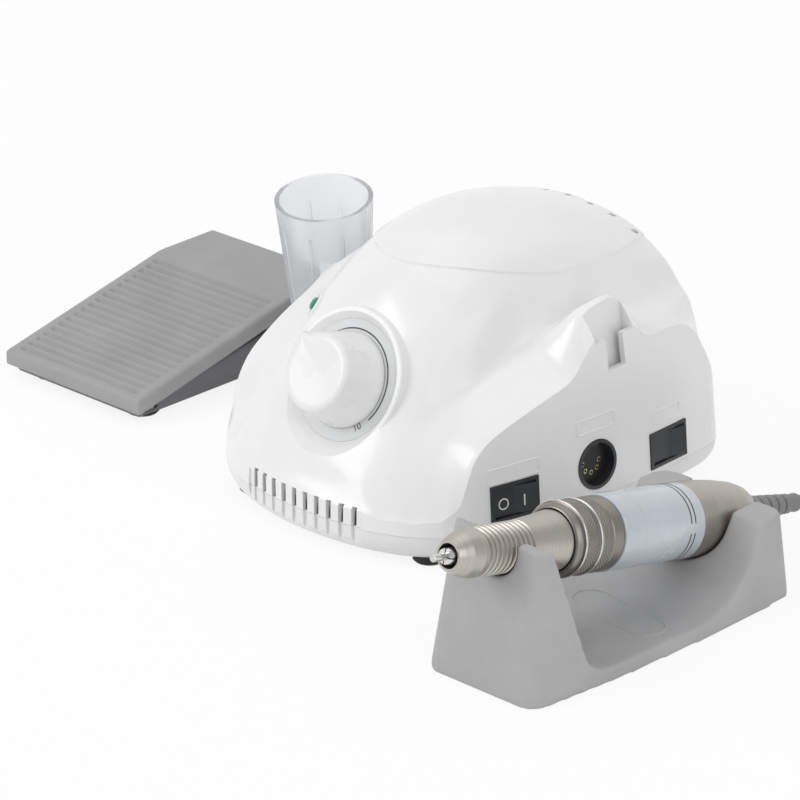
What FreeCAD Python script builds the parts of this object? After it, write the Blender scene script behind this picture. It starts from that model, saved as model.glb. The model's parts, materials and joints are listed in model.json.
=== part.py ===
import FreeCAD, Part
import math
import os
from FreeCAD import Placement, Rotation, Vector

os.makedirs("parts", exist_ok=True)

# A nail drill set: control box, handpiece on its rest, foot pedal and a clear bit holder.
# Millimetres, +Z up. Places are measured from the middle of the control box on the table,
# with its dial towards -Y and its switches towards +X.

# Control box
seamHeight = 12.0
trayBottom = 3.2
frontReach = 70.5
rearReach = 74.0
cornerX = 52.0
cornerDepth = 17.5
cornerPower = 2.5
wallDraft = math.radians(5.0)
# The plan outline turns through these arcs from the middle of the front to the rear
planArcs = [(105.0, 15.5), (51.9, 43.7), (20.0, 74.4), (278.0, 97.2), (11.0, 180.0)]
sideArc = 3
shellWall = 2.5
trayWall = 2.4
trayTuck = 4.5
rearBow = 0.15

# Hood and fenders above the seam
slopeSetback = 0.8
edgeRise = 4.4
edgeBlend = 1.5
frontSlope = 2.0
cornerSlope = 3.9
hoodTop = 94.0
hoodPeakAt = 12.0
hoodArchRadius = 135.0
hoodFrontHalf = 34.0
hoodRearHalf = 48.0
hoodFrontDrop = 40.0
hoodRearDrop = 30.0
hoodBlend = 17.0
fenderTop = 58.7
fenderPeakAt = 45.0
fenderFall = 0.0025
fenderSlope = 0.36
fenderBlend = 7.0
valleyBlend = 2.5
rearSlope = 7.0
rearSideSlope = 2.2
rearRunOut = 4.5
rearSideRunOut = 3.6
rearRound = 0.0008
rearBlend = 5.0
sideFrom = 44.0
sideOver = 14.0
tonguePanelRise = 0.8
tongueHalfLength = 56.0
tongueHalfWidth = 37.0
tongueCentreY = 34.0
tongueRearGap = 7.0

# Slots in both sides for the bit holder, in bosses that lean inwards; the left one is lower
slotY = 16.4
slotZ = 53.7
slotDropLeft = 4.5
slotLean = math.radians(4.5)
slotStemWidth = 8.0
slotStemHeight = 10.8
slotHeadWidth = 17.4
slotHeadReach = 26.0
slotLip = 2.2
slotPocketDepth = 2.8
slotPocketSink = 2.0
slotPocketWall = 1.6
bossRise = 15.0
bossRiseLeft = 4.5
bossY = 14.0
bossSetback = 11.1
bossSpread = 9.1
bossHalfLength = 14.5

# Screws and posts that hold the housing to its tray
screwPlaces = [(45.0, -40.0), (-45.0, -40.0), (54.0, 56.0), (-54.0, 56.0)]
screwRadius = 1.5
screwHeadRadius = 3.0
screwHeadHeight = 2.0
screwHeadSink = 0.4
screwBite = 0.2
bossRadius = 3.6
bossHeight = 14.0
webLength = 9.0

# Rubber feet
footRadius = 5.5
footPlaces = [(40.0, -50.0), (-40.0, -50.0), (47.0, 60.0), (-47.0, 60.0)]
footStem = 2.2
footChamfer = 0.8

# Front vents
ventCount = 10
ventPitch = 5.0
ventWidth = 2.0
ventTop = 18.6
ventRecess = 1.2
ventBrow = 20.4

# Row of holes for bits in the top
bitHoleCount = 7
bitHolePitch = 10.0
bitHoleRadius = 1.3
bitHoleY = 61.5

# Dial and knob
dialY = -47.0
dialZ = 50.8
dialTilt = math.radians(26.5)
dialRadius = 20.4
dialThick = 0.8
dialBacking = 3.4
bezelRadius = 24.2
bezelRise = 2.0
bezelDish = 22.6
bezelFlare = 28.0
knobBaseRadius = 16.0
knobFaceRadius = 12.8
knobHeight = 16.0
knobGap = 0.4
knobRim = 1.2
shaftRadius = 3.0
shaftEnd = 3.2
shaftClearance = 0.06
pressClearance = 0.02
bushRadius = 4.4
potRadius = 8.5
potTop = -4.2
potDepth = 9.0
nutWidth = 12.0
nutHeight = 2.2
pointerAngle = math.radians(137.0)
pointerWidth = 2.4

# Lamp, switches and sockets
ledX = -29.5
ledY = -31.0
ledRadius = 2.5
ledRimRadius = 4.6
ledRimRise = 0.7
switchLength = 19.0
switchHeight = 12.6
switchDepth = 14.0
switchWall = 1.2
switchProud = 0.4
wellDepth = 9.5
powerY = -29.5
powerZ = 20.4
directionY = 39.9
directionZ = 19.8
rockerTilt = 8.0
rockerGap = 0.35
rockerPivot = -1.2
trunnionRadius = 1.0
panelFit = 0.1
socketY = 5.2
socketZ = 23.3
socketRadius = 8.5
socketWall = 1.2
socketDepth = 11.0
insertTop = -3.0
pinRadius = 0.9
pinCircle = 3.6
pinAngles = (0, 45, 90, 135, 180)
jackX = 26.0
jackBore = 3.2
jackRadius = 5.0
jackDepth = 16.0
jackFloor = 1.0
fuseX = 0.0
fuseRadius = 6.0
fuseDepth = 24.0
glandX = -28.0
glandRadius = 5.0
glandBore = 3.2
rearZ = 24.0
flangeGap = 0.05

# Inside the box
boardX0 = 9.0
boardX1 = 41.0
boardY0 = -37.0
boardY1 = 47.0
boardPosts = [(14.0, -32.0), (36.0, -32.0), (14.0, 42.0), (36.0, 42.0)]
boardPostRadius = 2.6
boardBottom = 9.0
boardThick = 1.6
boardScrewRadius = 2.4
boardHoleRadius = 1.3
transformerX = -22.0
transformerY = 14.0
transformerBottom = 8.0
transformerWidth = 48.0
transformerDepth = 40.0
transformerHeight = 40.0
transformerLimb = 8.0
windingGap = 0.3
capacitorX = 25.0
capacitorY = -18.0
capacitorRadius = 8.0
capacitorHeight = 26.0
sinkHeight = 26.0

# Handpiece, measured along its axis from the nose ring
handX = 114.0
handNoseY = -121.2
handNoseZ = 49.6
handTilt = math.radians(12.7)
noseRingRadius = 3.9
noseRadius = 7.6
coneRadius = 9.6
collarRadius = 12.0
sleeveRadius = 12.3
tailEndRadius = 7.4
grooveStart = 11.2
groovePitch = 2.1
grooveCount = 10
grooveDepth = 0.8
coneEnd = 47.0
collarEnd = 69.0
sleeveEnd = 108.0
tailEnd = 141.0
shellThick = 1.4
bearingRadius = 6.5
spindleRadius = 3.0
spindleThin = 2.4
spindleStep = 76.0
bitRadius = 1.175
bitReach = 7.0
reliefLength = 30.0
reliefRoot = 4.4
reliefRibs = 6
reliefPitch = 4.4
reliefTuck = 5.0
handLift = 40.0

# Rest under the handpiece
restFrontY = -108.0
restRearY = 12.0
restFrontHalf = 22.5
restRearHalf = 28.5
restFrontTop = 48.5
restRearTop = 29.0
restFloor = 5.0
restTaper = 0.86
restCornerRadius = 7.0
saddleGap = 0.4

# Foot pedal
pedalX = -141.0
pedalHalfWidth = 35.0
pedalToeY = -42.0
pedalRearY = 61.0
pedalToeTop = 10.5
pedalRearTop = 28.0
pedalBreakY = 34.0
pedalRim = 1.6
capWall = 2.2
capSkirt = 6.0
capGap = 0.6
treadGrooves = 19
treadGrooveWidth = 1.6
treadGrooveDepth = 0.7
hingeY = -34.0
hingeZ = 6.2
hingePinRadius = 1.5
earOffset = 3.0
earThick = 3.0
pedalPress = 4.0
pedalFloor = 2.2
pedalPlate = 2.2
pedalFootX = 24.0
pedalFootYs = (-30.0, 48.0)
pedalFootRadius = 6.0
pedalGlandZ = 10.2
pedalGlandRadius = 4.1
springY = 42.0
springTop = 22.0
springBottom = 4.4
springRadius = 5.0
springWire = 0.6
switchY = -12.0
switchTop = 12.5
plungerRadius = 1.5
plungerLength = 5.2
plungerGap = 0.3

# Bit holder cup
cupX = 78.0
cupY = 22.0
cupTopZ = 76.0
cupLean = math.radians(9.0)
cupTilt = math.radians(4.0)
cupRimRadius = 17.25
cupBaseRadius = 13.2
cupLength = 61.0
cupWall = 1.6
cupRibs = 8
cupRibWidth = 1.0
cupLift = 10.5
hookGap = 0.3
hookHeight = 8.4

# Cords
cordRadius = 2.2
cordRun = 15.0
coilTurns = 4
coilInner = 13.2
coilPitch = 4.95
coilClimbStep = 1.6
coilX = 146.0
coilY = 110.0
plugRadius = 7.0
plugSleeveRadius = 6.6
plugSleeveWall = 0.6
plugLength = 27.0
plugReliefLength = 13.0
plugShellReach = 7.5
plugPinRadius = 0.6

trayFloor = trayBottom + trayWall

zAxis = Vector(0, 0, 1)


def box(x0, x1, y0, y1, z0, z1):
    return Part.makeBox(x1 - x0, y1 - y0, z1 - z0, Vector(x0, y0, z0))


def cylinder(radius, z0, z1, x=0.0, y=0.0):
    return Part.makeCylinder(radius, z1 - z0, Vector(x, y, z0))


def polygon(points):
    return Part.makePolygon([Vector(*p) for p in points] + [Vector(*points[0])])


def prismYZ(points, x0, x1):
    """Side profile of (y, z) points drawn out along X."""
    face = Part.Face(polygon([(x0, y, z) for y, z in points]))
    return face.extrude(Vector(x1 - x0, 0, 0))


def prismXY(points, z0, z1):
    face = Part.Face(polygon([(x, y, z0) for x, y in points]))
    return face.extrude(Vector(0, 0, z1 - z0))


def turned(profile):
    """Solid of revolution about local Z from (radius, z) points."""
    face = Part.Face(polygon([(r, 0, z) for r, z in profile]))
    return face.revolve(Vector(0, 0, 0), zAxis, 360)


def fuse(first, *others):
    return first.fuse(list(others)).removeSplitter()


def framed(shape, origin, across, up, out):
    """Carries a shape from local axes (across, up, out) to its place on the product."""
    placed = shape.copy()
    placed.Placement = Placement(origin, Rotation(across, up, out, "ZXY")).multiply(placed.Placement)
    return placed


def clamp(value):
    return max(0.0, min(1.0, value))


def softMin(a, b, blend):
    return min(a, b) - blend * math.log1p(math.exp(-abs(a - b) / blend))


# Control box skin: one formula gives the hood, the fenders and the bosses round the slots
def frontLine(x):
    return -frontReach + cornerDepth * (abs(x) / cornerX) ** cornerPower


def sideCentre():
    """Middle of the long arc that both side walls follow."""
    x, y, heading = 0.0, -frontReach, 0.0
    for radius, toHeading in planArcs[:sideArc]:
        start, turn = math.radians(heading), math.radians(toHeading)
        x += radius * (math.sin(turn) - math.sin(start))
        y += radius * (math.cos(start) - math.cos(turn))
        heading = toHeading
    radius = planArcs[sideArc][0]
    turn = math.radians(heading)
    return x - radius * math.sin(turn), y + radius * math.cos(turn), radius


sideX, sideY, sideRadius = sideCentre()


def sideLine(y):
    return sideX + math.sqrt(sideRadius ** 2 - (y - sideY) ** 2)


def hoodHeight(x, y):
    back = clamp((y + 45.0) / 115.0)
    half = hoodFrontHalf + (hoodRearHalf - hoodFrontHalf) * back
    drop = hoodFrontDrop + (hoodRearDrop - hoodFrontDrop) * back
    power = 2.0 + 0.4 * back
    reach = min(abs(x) / half, 0.985)
    crown = hoodTop - (y - hoodPeakAt) ** 2 / (2 * hoodArchRadius)
    beyond = max(0.0, abs(x) - 0.985 * half)
    return crown - drop * (1 - (1 - reach ** power) ** (1 / power)) - 3 * beyond


def softMax(a, b, blend):
    return -softMin(-a, -b, blend)


def smooth(value):
    """Eased share from 0 to 1."""
    share = clamp(value)
    return share * share * (3 - 2 * share)


def fenderHeight(x, y):
    inward = sideLine(y) - abs(x)
    rise = bossRise if x > 0 else bossRiseLeft
    boss = math.exp(-((inward - bossSetback) / bossSpread) ** 2 - ((y - bossY) / bossHalfLength) ** 4)
    return fenderTop - fenderFall * (y - fenderPeakAt) ** 2 + fenderSlope * inward + rise * boss


def skinHeight(x, y):
    setback = y - frontLine(x) + slopeSetback
    steep = frontSlope + (cornerSlope - frontSlope) * clamp((abs(x) - 40.0) / 16.0) ** 2
    hood = softMin(seamHeight + setback * frontSlope, hoodHeight(x, y), hoodBlend)
    fender = softMin(seamHeight + setback * steep, fenderHeight(x, y), fenderBlend)
    joined = softMax(hood, fender, valleyBlend)
    side = smooth((abs(x) - sideFrom) / sideOver)
    reach = rearReach + rearRunOut + rearSideRunOut * side - rearRound * x * x
    rear = seamHeight + (reach - y) * (rearSlope + (rearSideSlope - rearSlope) * side)
    return softMax(softMin(joined, rear, rearBlend + 3.0 * side), seamHeight + edgeRise, edgeBlend)


def skinNormal(x, y):
    dx = (skinHeight(x + 0.5, y) - skinHeight(x - 0.5, y))
    dy = (skinHeight(x, y + 0.5) - skinHeight(x, y - 0.5))
    return Vector(-dx, -dy, 1).normalize()


def underSkin(depth):
    """Everything below the skin, sunk by a wall thickness measured square to it."""
    columns = 37
    rows = 41
    grid = []
    for i in range(columns):
        x = -76.0 + 152.0 * i / (columns - 1)
        line = []
        for j in range(rows):
            y = -86.0 + 178.0 * j / (rows - 1)
            z = skinHeight(x, y)
            if depth:
                z -= depth / max(skinNormal(x, y).z, 0.22)
            line.append(Vector(x, y, z))
        grid.append(line)
    surface = Part.BSplineSurface()
    surface.interpolate(grid)
    u0, u1, v0, v1 = surface.bounds()
    blocks = []
    # Nine patches of the one surface, so that each face stays light enough to mesh well
    for i in range(3):
        for j in range(3):
            patch = surface.copy()
            patch.segment(u0 + (u1 - u0) * i / 3, u0 + (u1 - u0) * (i + 1) / 3,
                          v0 + (v1 - v0) * j / 3, v0 + (v1 - v0) * (j + 1) / 3)
            blocks.append(patch.toShape().extrude(Vector(0, 0, -260)))
    return blocks[0].fuse(blocks[1:])


def planCurve(inset, z):
    """Closed plan outline of the box, moved inwards: tangent arcs and a straight rear."""
    x, y, heading = 0.0, -frontReach + inset, 0.0
    half = []
    for radius, toHeading in planArcs:
        r = radius - inset
        points = []
        for degrees in (heading, (heading + toHeading) / 2, toHeading):
            turn = math.radians(degrees)
            start = math.radians(heading)
            points.append((x + r * (math.sin(turn) - math.sin(start)),
                           y + r * (math.cos(start) - math.cos(turn))))
        half.append(points)
        x, y = points[-1]
        heading = toHeading
    edges = [Part.Arc(*[Vector(px, py, z) for px, py in points]).toShape() for points in half]
    edges.append(Part.makeLine(Vector(x, y, z), Vector(-x, y, z)))
    for points in reversed(half):
        edges.append(Part.Arc(*[Vector(-px, py, z) for px, py in reversed(points)]).toShape())
    return Part.Wire(edges)


def draftedBlock(inset, z0, z1):
    wires = []
    for z in (z0, z1):
        wires.append(planCurve(inset + (z - seamHeight) * math.tan(wallDraft), z))
    return Part.makeLoft(wires, True, True)


def wallPoint(y, z):
    return Vector(sideLine(y) - (z - seamHeight) * math.tan(wallDraft), y, z)


def wallAxes(y, lean=0.0):
    """Along, up and out directions of the right wall at a place along it."""
    around = Vector(sideLine(y) - sideX, y - sideY, 0).normalize()
    out = (around + zAxis * math.tan(wallDraft)).normalize()
    up = Vector(0, -math.sin(lean), math.cos(lean))
    up = (up - out * up.dot(out)).normalize()
    return up.cross(out), up, out


def onWall(shape, y, z, lean=0.0):
    along, up, out = wallAxes(y, lean)
    return framed(shape, wallPoint(y, z), along, up, out)


def onRear(shape, x, z):
    out = Vector(0, 1, math.tan(wallDraft)).normalize()
    across = Vector(-1, 0, 0)
    place = Vector(x, rearReach + rearBow - (z - seamHeight) * math.tan(wallDraft), z)
    return framed(shape, place, across, out.cross(across), out)


dialOut = Vector(0, -math.cos(dialTilt), math.sin(dialTilt))
dialUp = Vector(0, math.sin(dialTilt), math.cos(dialTilt))
dialCentre = Vector(0, dialY, dialZ)


def onDial(shape):
    return framed(shape, dialCentre, Vector(1, 0, 0), dialUp, dialOut)


ledOut = skinNormal(ledX, ledY)
ledCentre = Vector(ledX, ledY, skinHeight(ledX, ledY))


def onLamp(shape):
    across = Vector(1, 0, 0)
    across = (across - ledOut * across.dot(ledOut)).normalize()
    return framed(shape, ledCentre, across, ledOut.cross(across), ledOut)


def slotOpening():
    """T-shaped slot in wall axes, its stem's foot at 0 and its head open to the boss's top."""
    back = -slotLip - slotPocketDepth
    stem = slotStemWidth / 2
    head = slotHeadWidth / 2
    opening = box(-stem, stem, 0, slotStemHeight + 1, -slotLip - 1, 6)
    mouth = box(-head, head, slotStemHeight, slotHeadReach, back, 12)
    pocket = box(-head, head, -slotPocketSink, slotStemHeight + 1, back, -slotLip)
    return fuse(opening, mouth, pocket)


def slotBlock():
    """Solid round the pocket, cut back to lie inside the housing's wall."""
    head = slotHeadWidth / 2 + slotPocketWall
    depth = slotLip + slotPocketDepth + slotPocketWall
    return box(-head, head, -slotPocketSink - slotPocketWall, slotHeadReach, -depth, 2)


def atLeftSlot(shape):
    """Carries a shape to the left slot's height, still beside the right wall."""
    return onWall(shape, slotY, slotZ - slotDropLeft, slotLean)


def mirrored(shape):
    return shape.mirror(Vector(0, 0, 0), Vector(1, 0, 0))


def ventCuts(z0, z1):
    cuts = []
    for i in range(ventCount):
        x = (i - (ventCount - 1) / 2) * ventPitch
        y = frontLine(x)
        cuts.append(box(x - ventWidth / 2, x + ventWidth / 2, y - 3, y + 9, z0, z1))
    return cuts


def ventPocket(z0, z1):
    """Shallow recess that follows the bowed front."""
    reach = ventCount * ventPitch / 2 + 0.8
    steps = 6
    front = []
    for i in range(steps + 1):
        x = -reach + 2 * reach * i / steps
        front.append((x, frontLine(x) + ventRecess))
    points = [(-reach, -frontReach - 8)] + front + [(reach, -frontReach - 8)]
    return prismXY(points, z0, z1)


def upperHousing():
    block = draftedBlock(0.0, seamHeight, hoodTop + 8)
    skin = underSkin(0.0)
    outer = block.common(skin)
    # Raised tongue on the hood, drawn as a half ellipse that runs out at the rear
    tip = Part.Ellipse(Vector(0, tongueCentreY, 0), tongueHalfLength, tongueHalfWidth)
    tongue = Part.Face(Part.Wire(tip.toShape()))
    tongue.rotate(Vector(0, tongueCentreY, 0), zAxis, 90)
    tongue = tongue.extrude(Vector(0, 0, 130)).common(box(-60, 60, -60, rearReach - tongueRearGap, 40, 130))
    skin.translate(Vector(0, 0, tonguePanelRise))
    outer = outer.fuse(tongue.common(skin).common(block))
    bezel = turned([(0, -7), (bezelRadius + 2.0, -7), (bezelRadius, bezelRise - 0.4),
                    (bezelRadius - 0.4, bezelRise),
                    (0, bezelRise)])
    rim = turned([(0, -3), (ledRimRadius, -3), (ledRimRadius, 0.1), (ledRimRadius - 0.8, ledRimRise),
                  (0, ledRimRise)])
    outer = outer.fuse([onDial(bezel), onLamp(rim)])
    shell = outer.cut(draftedBlock(shellWall, seamHeight - 2, hoodTop + 8).common(underSkin(shellWall)))
    core = draftedBlock(shellWall / 2, seamHeight, hoodTop + 8).common(underSkin(shellWall / 2))
    for side in (onWall(slotBlock(), slotY, slotZ, slotLean), mirrored(atLeftSlot(slotBlock()))):
        shell = shell.fuse(side.common(core))
    for cut in (onWall(slotOpening(), slotY, slotZ, slotLean), mirrored(atLeftSlot(slotOpening()))):
        shell = shell.cut(cut)
    backing = turned([(0, -dialBacking), (bezelDish, -dialBacking), (bezelFlare, -0.5), (bezelFlare, 3.5),
                      (0, 3.5)])
    boss = turned([(0, potTop), (potRadius + 2.5, potTop), (potRadius + 2.5, -1), (0, -1)])
    shell = shell.fuse([onDial(backing).common(core), onDial(boss)])
    for x, y in screwPlaces:
        post = cylinder(bossRadius, seamHeight, seamHeight + bossHeight, x, y)
        end = x + math.copysign(webLength, x)
        web = box(min(x, end), max(x, end), y - 1, y + 1, seamHeight, seamHeight + bossHeight)
        shell = shell.fuse(fuse(post, web).common(core))
    dish = [(0, 0), (dialRadius + 0.2, 0), (bezelDish, bezelRise), (bezelFlare, 6.4), (bezelFlare, 12),
            (0, 12)]
    cuts = [onDial(turned(dish)), onDial(cylinder(dialRadius + panelFit, -dialThick, 6))]
    cuts.append(onDial(cylinder(bushRadius + panelFit, -20, 6)))
    cuts.append(onLamp(cylinder(ledRadius + panelFit, -20, 6)))
    for y, z in ((powerY, powerZ), (directionY, directionZ)):
        length = switchLength / 2 + panelFit
        height = switchHeight / 2 + panelFit
        cuts.append(onWall(box(-length, length, -height, height, -12, 6), y, z))
    cuts.append(onWall(cylinder(socketRadius + panelFit, -12, 6), socketY, socketZ))
    for radius, x in ((jackRadius, jackX), (fuseRadius, fuseX), (glandRadius, glandX)):
        cuts.append(onRear(cylinder(radius + panelFit, -12, 6), x, rearZ))
    top = seamHeight + bossHeight - 2
    cuts += [cylinder(screwRadius - screwBite, seamHeight - 1, top, x, y) for x, y in screwPlaces]
    cuts.append(ventPocket(seamHeight - 1, ventBrow))
    cuts += ventCuts(seamHeight - 1, ventTop)
    for i in range(bitHoleCount):
        x = (i - (bitHoleCount - 1) / 2) * bitHolePitch
        cuts.append(cylinder(bitHoleRadius, 70.0, 110.0, x, bitHoleY))
    return shell.cut(cuts)


def baseTray():
    rim = seamHeight - 0.15
    middle = (rim + trayBottom) / 2
    outer = Part.makeLoft([planCurve(trayTuck, trayBottom), planCurve(1.1, middle), planCurve(0.1, rim)],
                          True)
    inner = Part.makeLoft([planCurve(trayTuck + trayWall, trayFloor), planCurve(trayWall + 0.1, rim + 1)],
                          True)
    tray = outer.cut(inner)
    posts = [cylinder(bossRadius, trayBottom, seamHeight - 0.2, x, y) for x, y in screwPlaces]
    posts += [cylinder(boardPostRadius, trayFloor - 0.5, boardBottom, x, y) for x, y in boardPosts]
    half = transformerWidth / 2
    posts += [box(transformerX - half, transformerX + half, y - 3, y + 3, trayFloor - 0.5, transformerBottom)
              for y in (transformerY - 16.0, transformerY + 16.0)]
    tray = tray.fuse(posts)
    cuts = [ventPocket(0, seamHeight + 2)]
    for i in range(ventCount):
        x = (i - (ventCount - 1) / 2) * ventPitch
        y = frontLine(x)
        cuts.append(box(x - ventWidth / 2, x + ventWidth / 2, y - 3, y + ventRecess + 1.0, 0, seamHeight + 1))
    for x, y in screwPlaces:
        cuts.append(cylinder(screwRadius + screwBite, 0, seamHeight + 1, x, y))
        cuts.append(cylinder(screwHeadRadius + 0.3, 0, trayBottom + screwHeadHeight + screwHeadSink, x, y))
    cuts += [cylinder(footStem + panelFit, 0, trayFloor + 1, x, y) for x, y in footPlaces]
    return tray.cut(cuts)


def rubberFoot(x, y):
    pad = turned([(0, 0), (footRadius - footChamfer, 0), (footRadius, footChamfer),
                  (footRadius, trayBottom), (0, trayBottom)])
    stem = cylinder(footStem, trayBottom - 0.1, trayFloor)
    barb = turned([(0, trayFloor), (footStem + 0.7, trayFloor), (footStem - 0.6, trayFloor + 2.0),
                   (0, trayFloor + 2.0)])
    foot = fuse(pad, stem, barb)
    foot.translate(Vector(x, y, 0))
    return foot


def housingScrews():
    screws = []
    for x, y in screwPlaces:
        z = trayBottom + screwHeadHeight + screwHeadSink
        head = cylinder(screwHeadRadius, z - screwHeadHeight, z, x, y)
        shank = cylinder(screwRadius - screwBite, z, seamHeight + bossHeight - 3, x, y)
        screws.append(fuse(head, shank))
    return Part.makeCompound(screws)


def dialPlate():
    plate = cylinder(dialRadius, -dialThick, 0.0)
    return onDial(plate.cut(cylinder(bushRadius + panelFit, -5, 5)))


def speedKnob():
    base = knobGap
    top = knobGap + knobHeight
    body = turned([(0, base), (knobBaseRadius, base), (knobBaseRadius, base + knobRim),
                   (knobFaceRadius + 0.2, top - knobRim), (knobFaceRadius - knobRim, top), (0, top)])
    # Pointer rib up the side of the knob, with a nib that reaches over the scale
    half = pointerWidth / 2
    rib = prismYZ([(10.0, base), (knobBaseRadius + 2.2, base), (knobBaseRadius + 2.2, base + 1.8),
                   (knobFaceRadius + 1.6, top - 2.0), (knobFaceRadius - 0.6, top + 0.5),
                   (10.0, top + 0.5)], -half, half)
    rib.rotate(Vector(0, 0, 0), zAxis, math.degrees(pointerAngle) - 90)
    knob = fuse(body, rib)
    knob = knob.cut(cylinder(nutWidth / 2 + 2.2, base - 1, base + nutHeight + 2.0))
    return onDial(knob.cut(cylinder(shaftRadius + pressClearance, base - 1, top - shaftEnd + 0.2)))


def potShaft():
    return onDial(cylinder(shaftRadius, potTop - 3.8, knobGap + knobHeight - shaftEnd))


def potentiometer():
    body = cylinder(potRadius, potTop - potDepth, potTop)
    bush = cylinder(bushRadius, potTop - 0.1, nutHeight + 0.8)
    lugs = [box(-5.6 + 4.6 * i, -3.6 + 4.6 * i, -potRadius - 5, -potRadius + 1, -9, -8.2) for i in range(3)]
    pot = fuse(body, bush, *lugs)
    return onDial(pot.cut(cylinder(shaftRadius + shaftClearance, -9.0, 20)))


def potNut():
    points = []
    for i in range(6):
        a = math.radians(60 * i + 30)
        r = nutWidth / 2 / math.cos(math.radians(30))
        points.append((r * math.cos(a), r * math.sin(a)))
    nut = prismXY(points, 0.0, nutHeight)
    return onDial(nut.cut(cylinder(bushRadius + pressClearance, -1, 5)))


def ledLens():
    dome = [(ledRadius, ledRimRise), (0.86 * ledRadius, 1.4), (0.45 * ledRadius, 1.9), (0, 2.0)]
    return onLamp(turned([(0, -6.0), (ledRadius, -6.0)] + dome))


def switchFrame(y, z):
    length = switchLength / 2
    height = switchHeight / 2
    body = box(-length, length, -height, height, -switchDepth, switchProud)
    well = box(-length + switchWall, length - switchWall, -height + switchWall, height - switchWall,
               -wellDepth, 2)
    tabs = [box(x - 0.4, x + 0.4, -3, 3, -switchDepth - 5, -switchDepth + 0.5) for x in (-5.0, 0.0, 5.0)]
    frame = fuse(body, *tabs).cut(well)
    pivot = Part.makeCylinder(trunnionRadius + shaftClearance, 2 * height - 0.8,
                              Vector(0, -height + 0.4, rockerPivot),
                              Vector(0, 1, 0))
    return onWall(frame.cut(pivot), y, z)


def rocker(y, z):
    """Rocker with two dished halves, at rest with its first half pressed."""
    half = switchLength / 2 - switchWall - rockerGap
    width = switchHeight / 2 - switchWall - rockerGap
    outline = [(-half, 0.6), (-half + 0.3, -2.0), (-5.0, -7.0), (5.0, -7.0), (half - 0.3, -2.0),
               (half, 0.6), (0.0, -0.3)]
    face = Part.Face(polygon([(x, -width, h) for x, h in outline]))
    body = face.extrude(Vector(0, 2 * width, 0))
    pin = Part.makeCylinder(trunnionRadius, switchHeight - 1.0,
                            Vector(0, -switchHeight / 2 + 0.5, rockerPivot),
                            Vector(0, 1, 0))
    body = fuse(body, pin)
    body.rotate(Vector(0, 0, rockerPivot), Vector(0, 1, 0), -rockerTilt)
    return onWall(body, y, z)


def motorSocket():
    shell = cylinder(socketRadius, -socketDepth, 0.3)
    key = box(-1.0, 1.0, socketRadius - socketWall - 1.0, socketRadius - 0.5, -9.0, -0.6)
    flange = cylinder(socketRadius + 1.8, -4.6, -2.8)
    return onWall(fuse(fuse(shell, flange).cut(cylinder(socketRadius - socketWall, -12, 3)), key), socketY,
                  socketZ)


socketPins = [(pinCircle * math.cos(math.radians(a)),
               -pinCircle * math.sin(math.radians(a))) for a in pinAngles]


def socketInsert():
    insert = cylinder(socketRadius - socketWall - pressClearance, -socketDepth, insertTop)
    insert = insert.cut([cylinder(pinRadius + pressClearance, -13, 0, *p) for p in socketPins])
    return onWall(insert.cut(box(-1.1, 1.1, socketRadius - socketWall - 1.2, socketRadius, -13, 0)),
                  socketY, socketZ)


def socketContacts():
    pins = [cylinder(pinRadius, -socketDepth - 3, insertTop - 0.2, *p) for p in socketPins]
    pins = [pin.cut(cylinder(pinRadius * 0.55, -9.0, 0, *p)) for pin, p in zip(pins, socketPins)]
    return onWall(Part.makeCompound(pins), socketY, socketZ)


def pedalJack():
    collar = cylinder(jackRadius + 1.8, flangeGap, 1.6)
    nut = cylinder(jackRadius + 1.6, -5.2, -2.8)
    body = fuse(cylinder(jackRadius, -jackDepth, 1.2), collar, nut)
    return onRear(body.cut(cylinder(jackBore, jackFloor - jackDepth, 5)), jackX, rearZ)


def fuseHolder():
    body = fuse(cylinder(fuseRadius, -fuseDepth, 0.5), cylinder(fuseRadius + 1.5, flangeGap, 2.2))
    cap = cylinder(fuseRadius - 1.0, 2.0, 5.5)
    slot = box(-fuseRadius, fuseRadius, -0.6, 0.6, 4.4, 7)
    return onRear(fuse(body, cap).cut(slot), fuseX, rearZ)


def mainsGland():
    flange = glandRadius + 1.6
    body = turned([(0, -9), (glandRadius, -9), (glandRadius, flangeGap), (flange, flangeGap), (flange, 2.4),
                   (glandRadius - 0.4, 6.0), (0, 6.0)])
    return onRear(body.cut(cylinder(glandBore, -12, 12)), glandX, rearZ)


def transformerBox(side, end, low, high):
    """Box centred on the transformer: half width, half depth and two heights above its foot."""
    z = transformerBottom
    return box(transformerX - side, transformerX + side, transformerY - end, transformerY + end, z + low,
               z + high)


def transformerCore():
    outer = transformerWidth / 2
    window = outer - transformerLimb
    core = transformerBox(outer, transformerDepth / 2, 0, transformerHeight)
    opening = transformerBox(window, transformerDepth, transformerLimb, transformerHeight - transformerLimb)
    return core.cut(opening.cut(transformerBox(transformerLimb, transformerDepth, 0, transformerHeight)))


def transformerWinding():
    low = transformerLimb + windingGap
    high = transformerHeight - transformerLimb - windingGap
    coil = transformerBox(transformerWidth / 2 - low, transformerDepth / 2 + 7.5, low, high)
    upright = [e for e in coil.Edges if e.BoundBox.ZLength > 20]
    coil = coil.makeFillet(6.0, upright)
    return coil.cut(transformerBox(low, transformerDepth / 2 + windingGap, 0, transformerHeight))


def circuitBoard():
    board = box(boardX0, boardX1, boardY0, boardY1, boardBottom, boardBottom + boardThick)
    return board.cut([cylinder(boardHoleRadius, boardBottom - 1, boardBottom + 3, x, y) for x,
                      y in boardPosts])


def boardScrews():
    top = boardBottom + boardThick
    return Part.makeCompound([cylinder(boardScrewRadius, top, top + 1.6, x, y) for x, y in boardPosts])


def capacitor():
    top = boardBottom + boardThick
    return cylinder(capacitorRadius, top, top + capacitorHeight, capacitorX, capacitorY)


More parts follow.
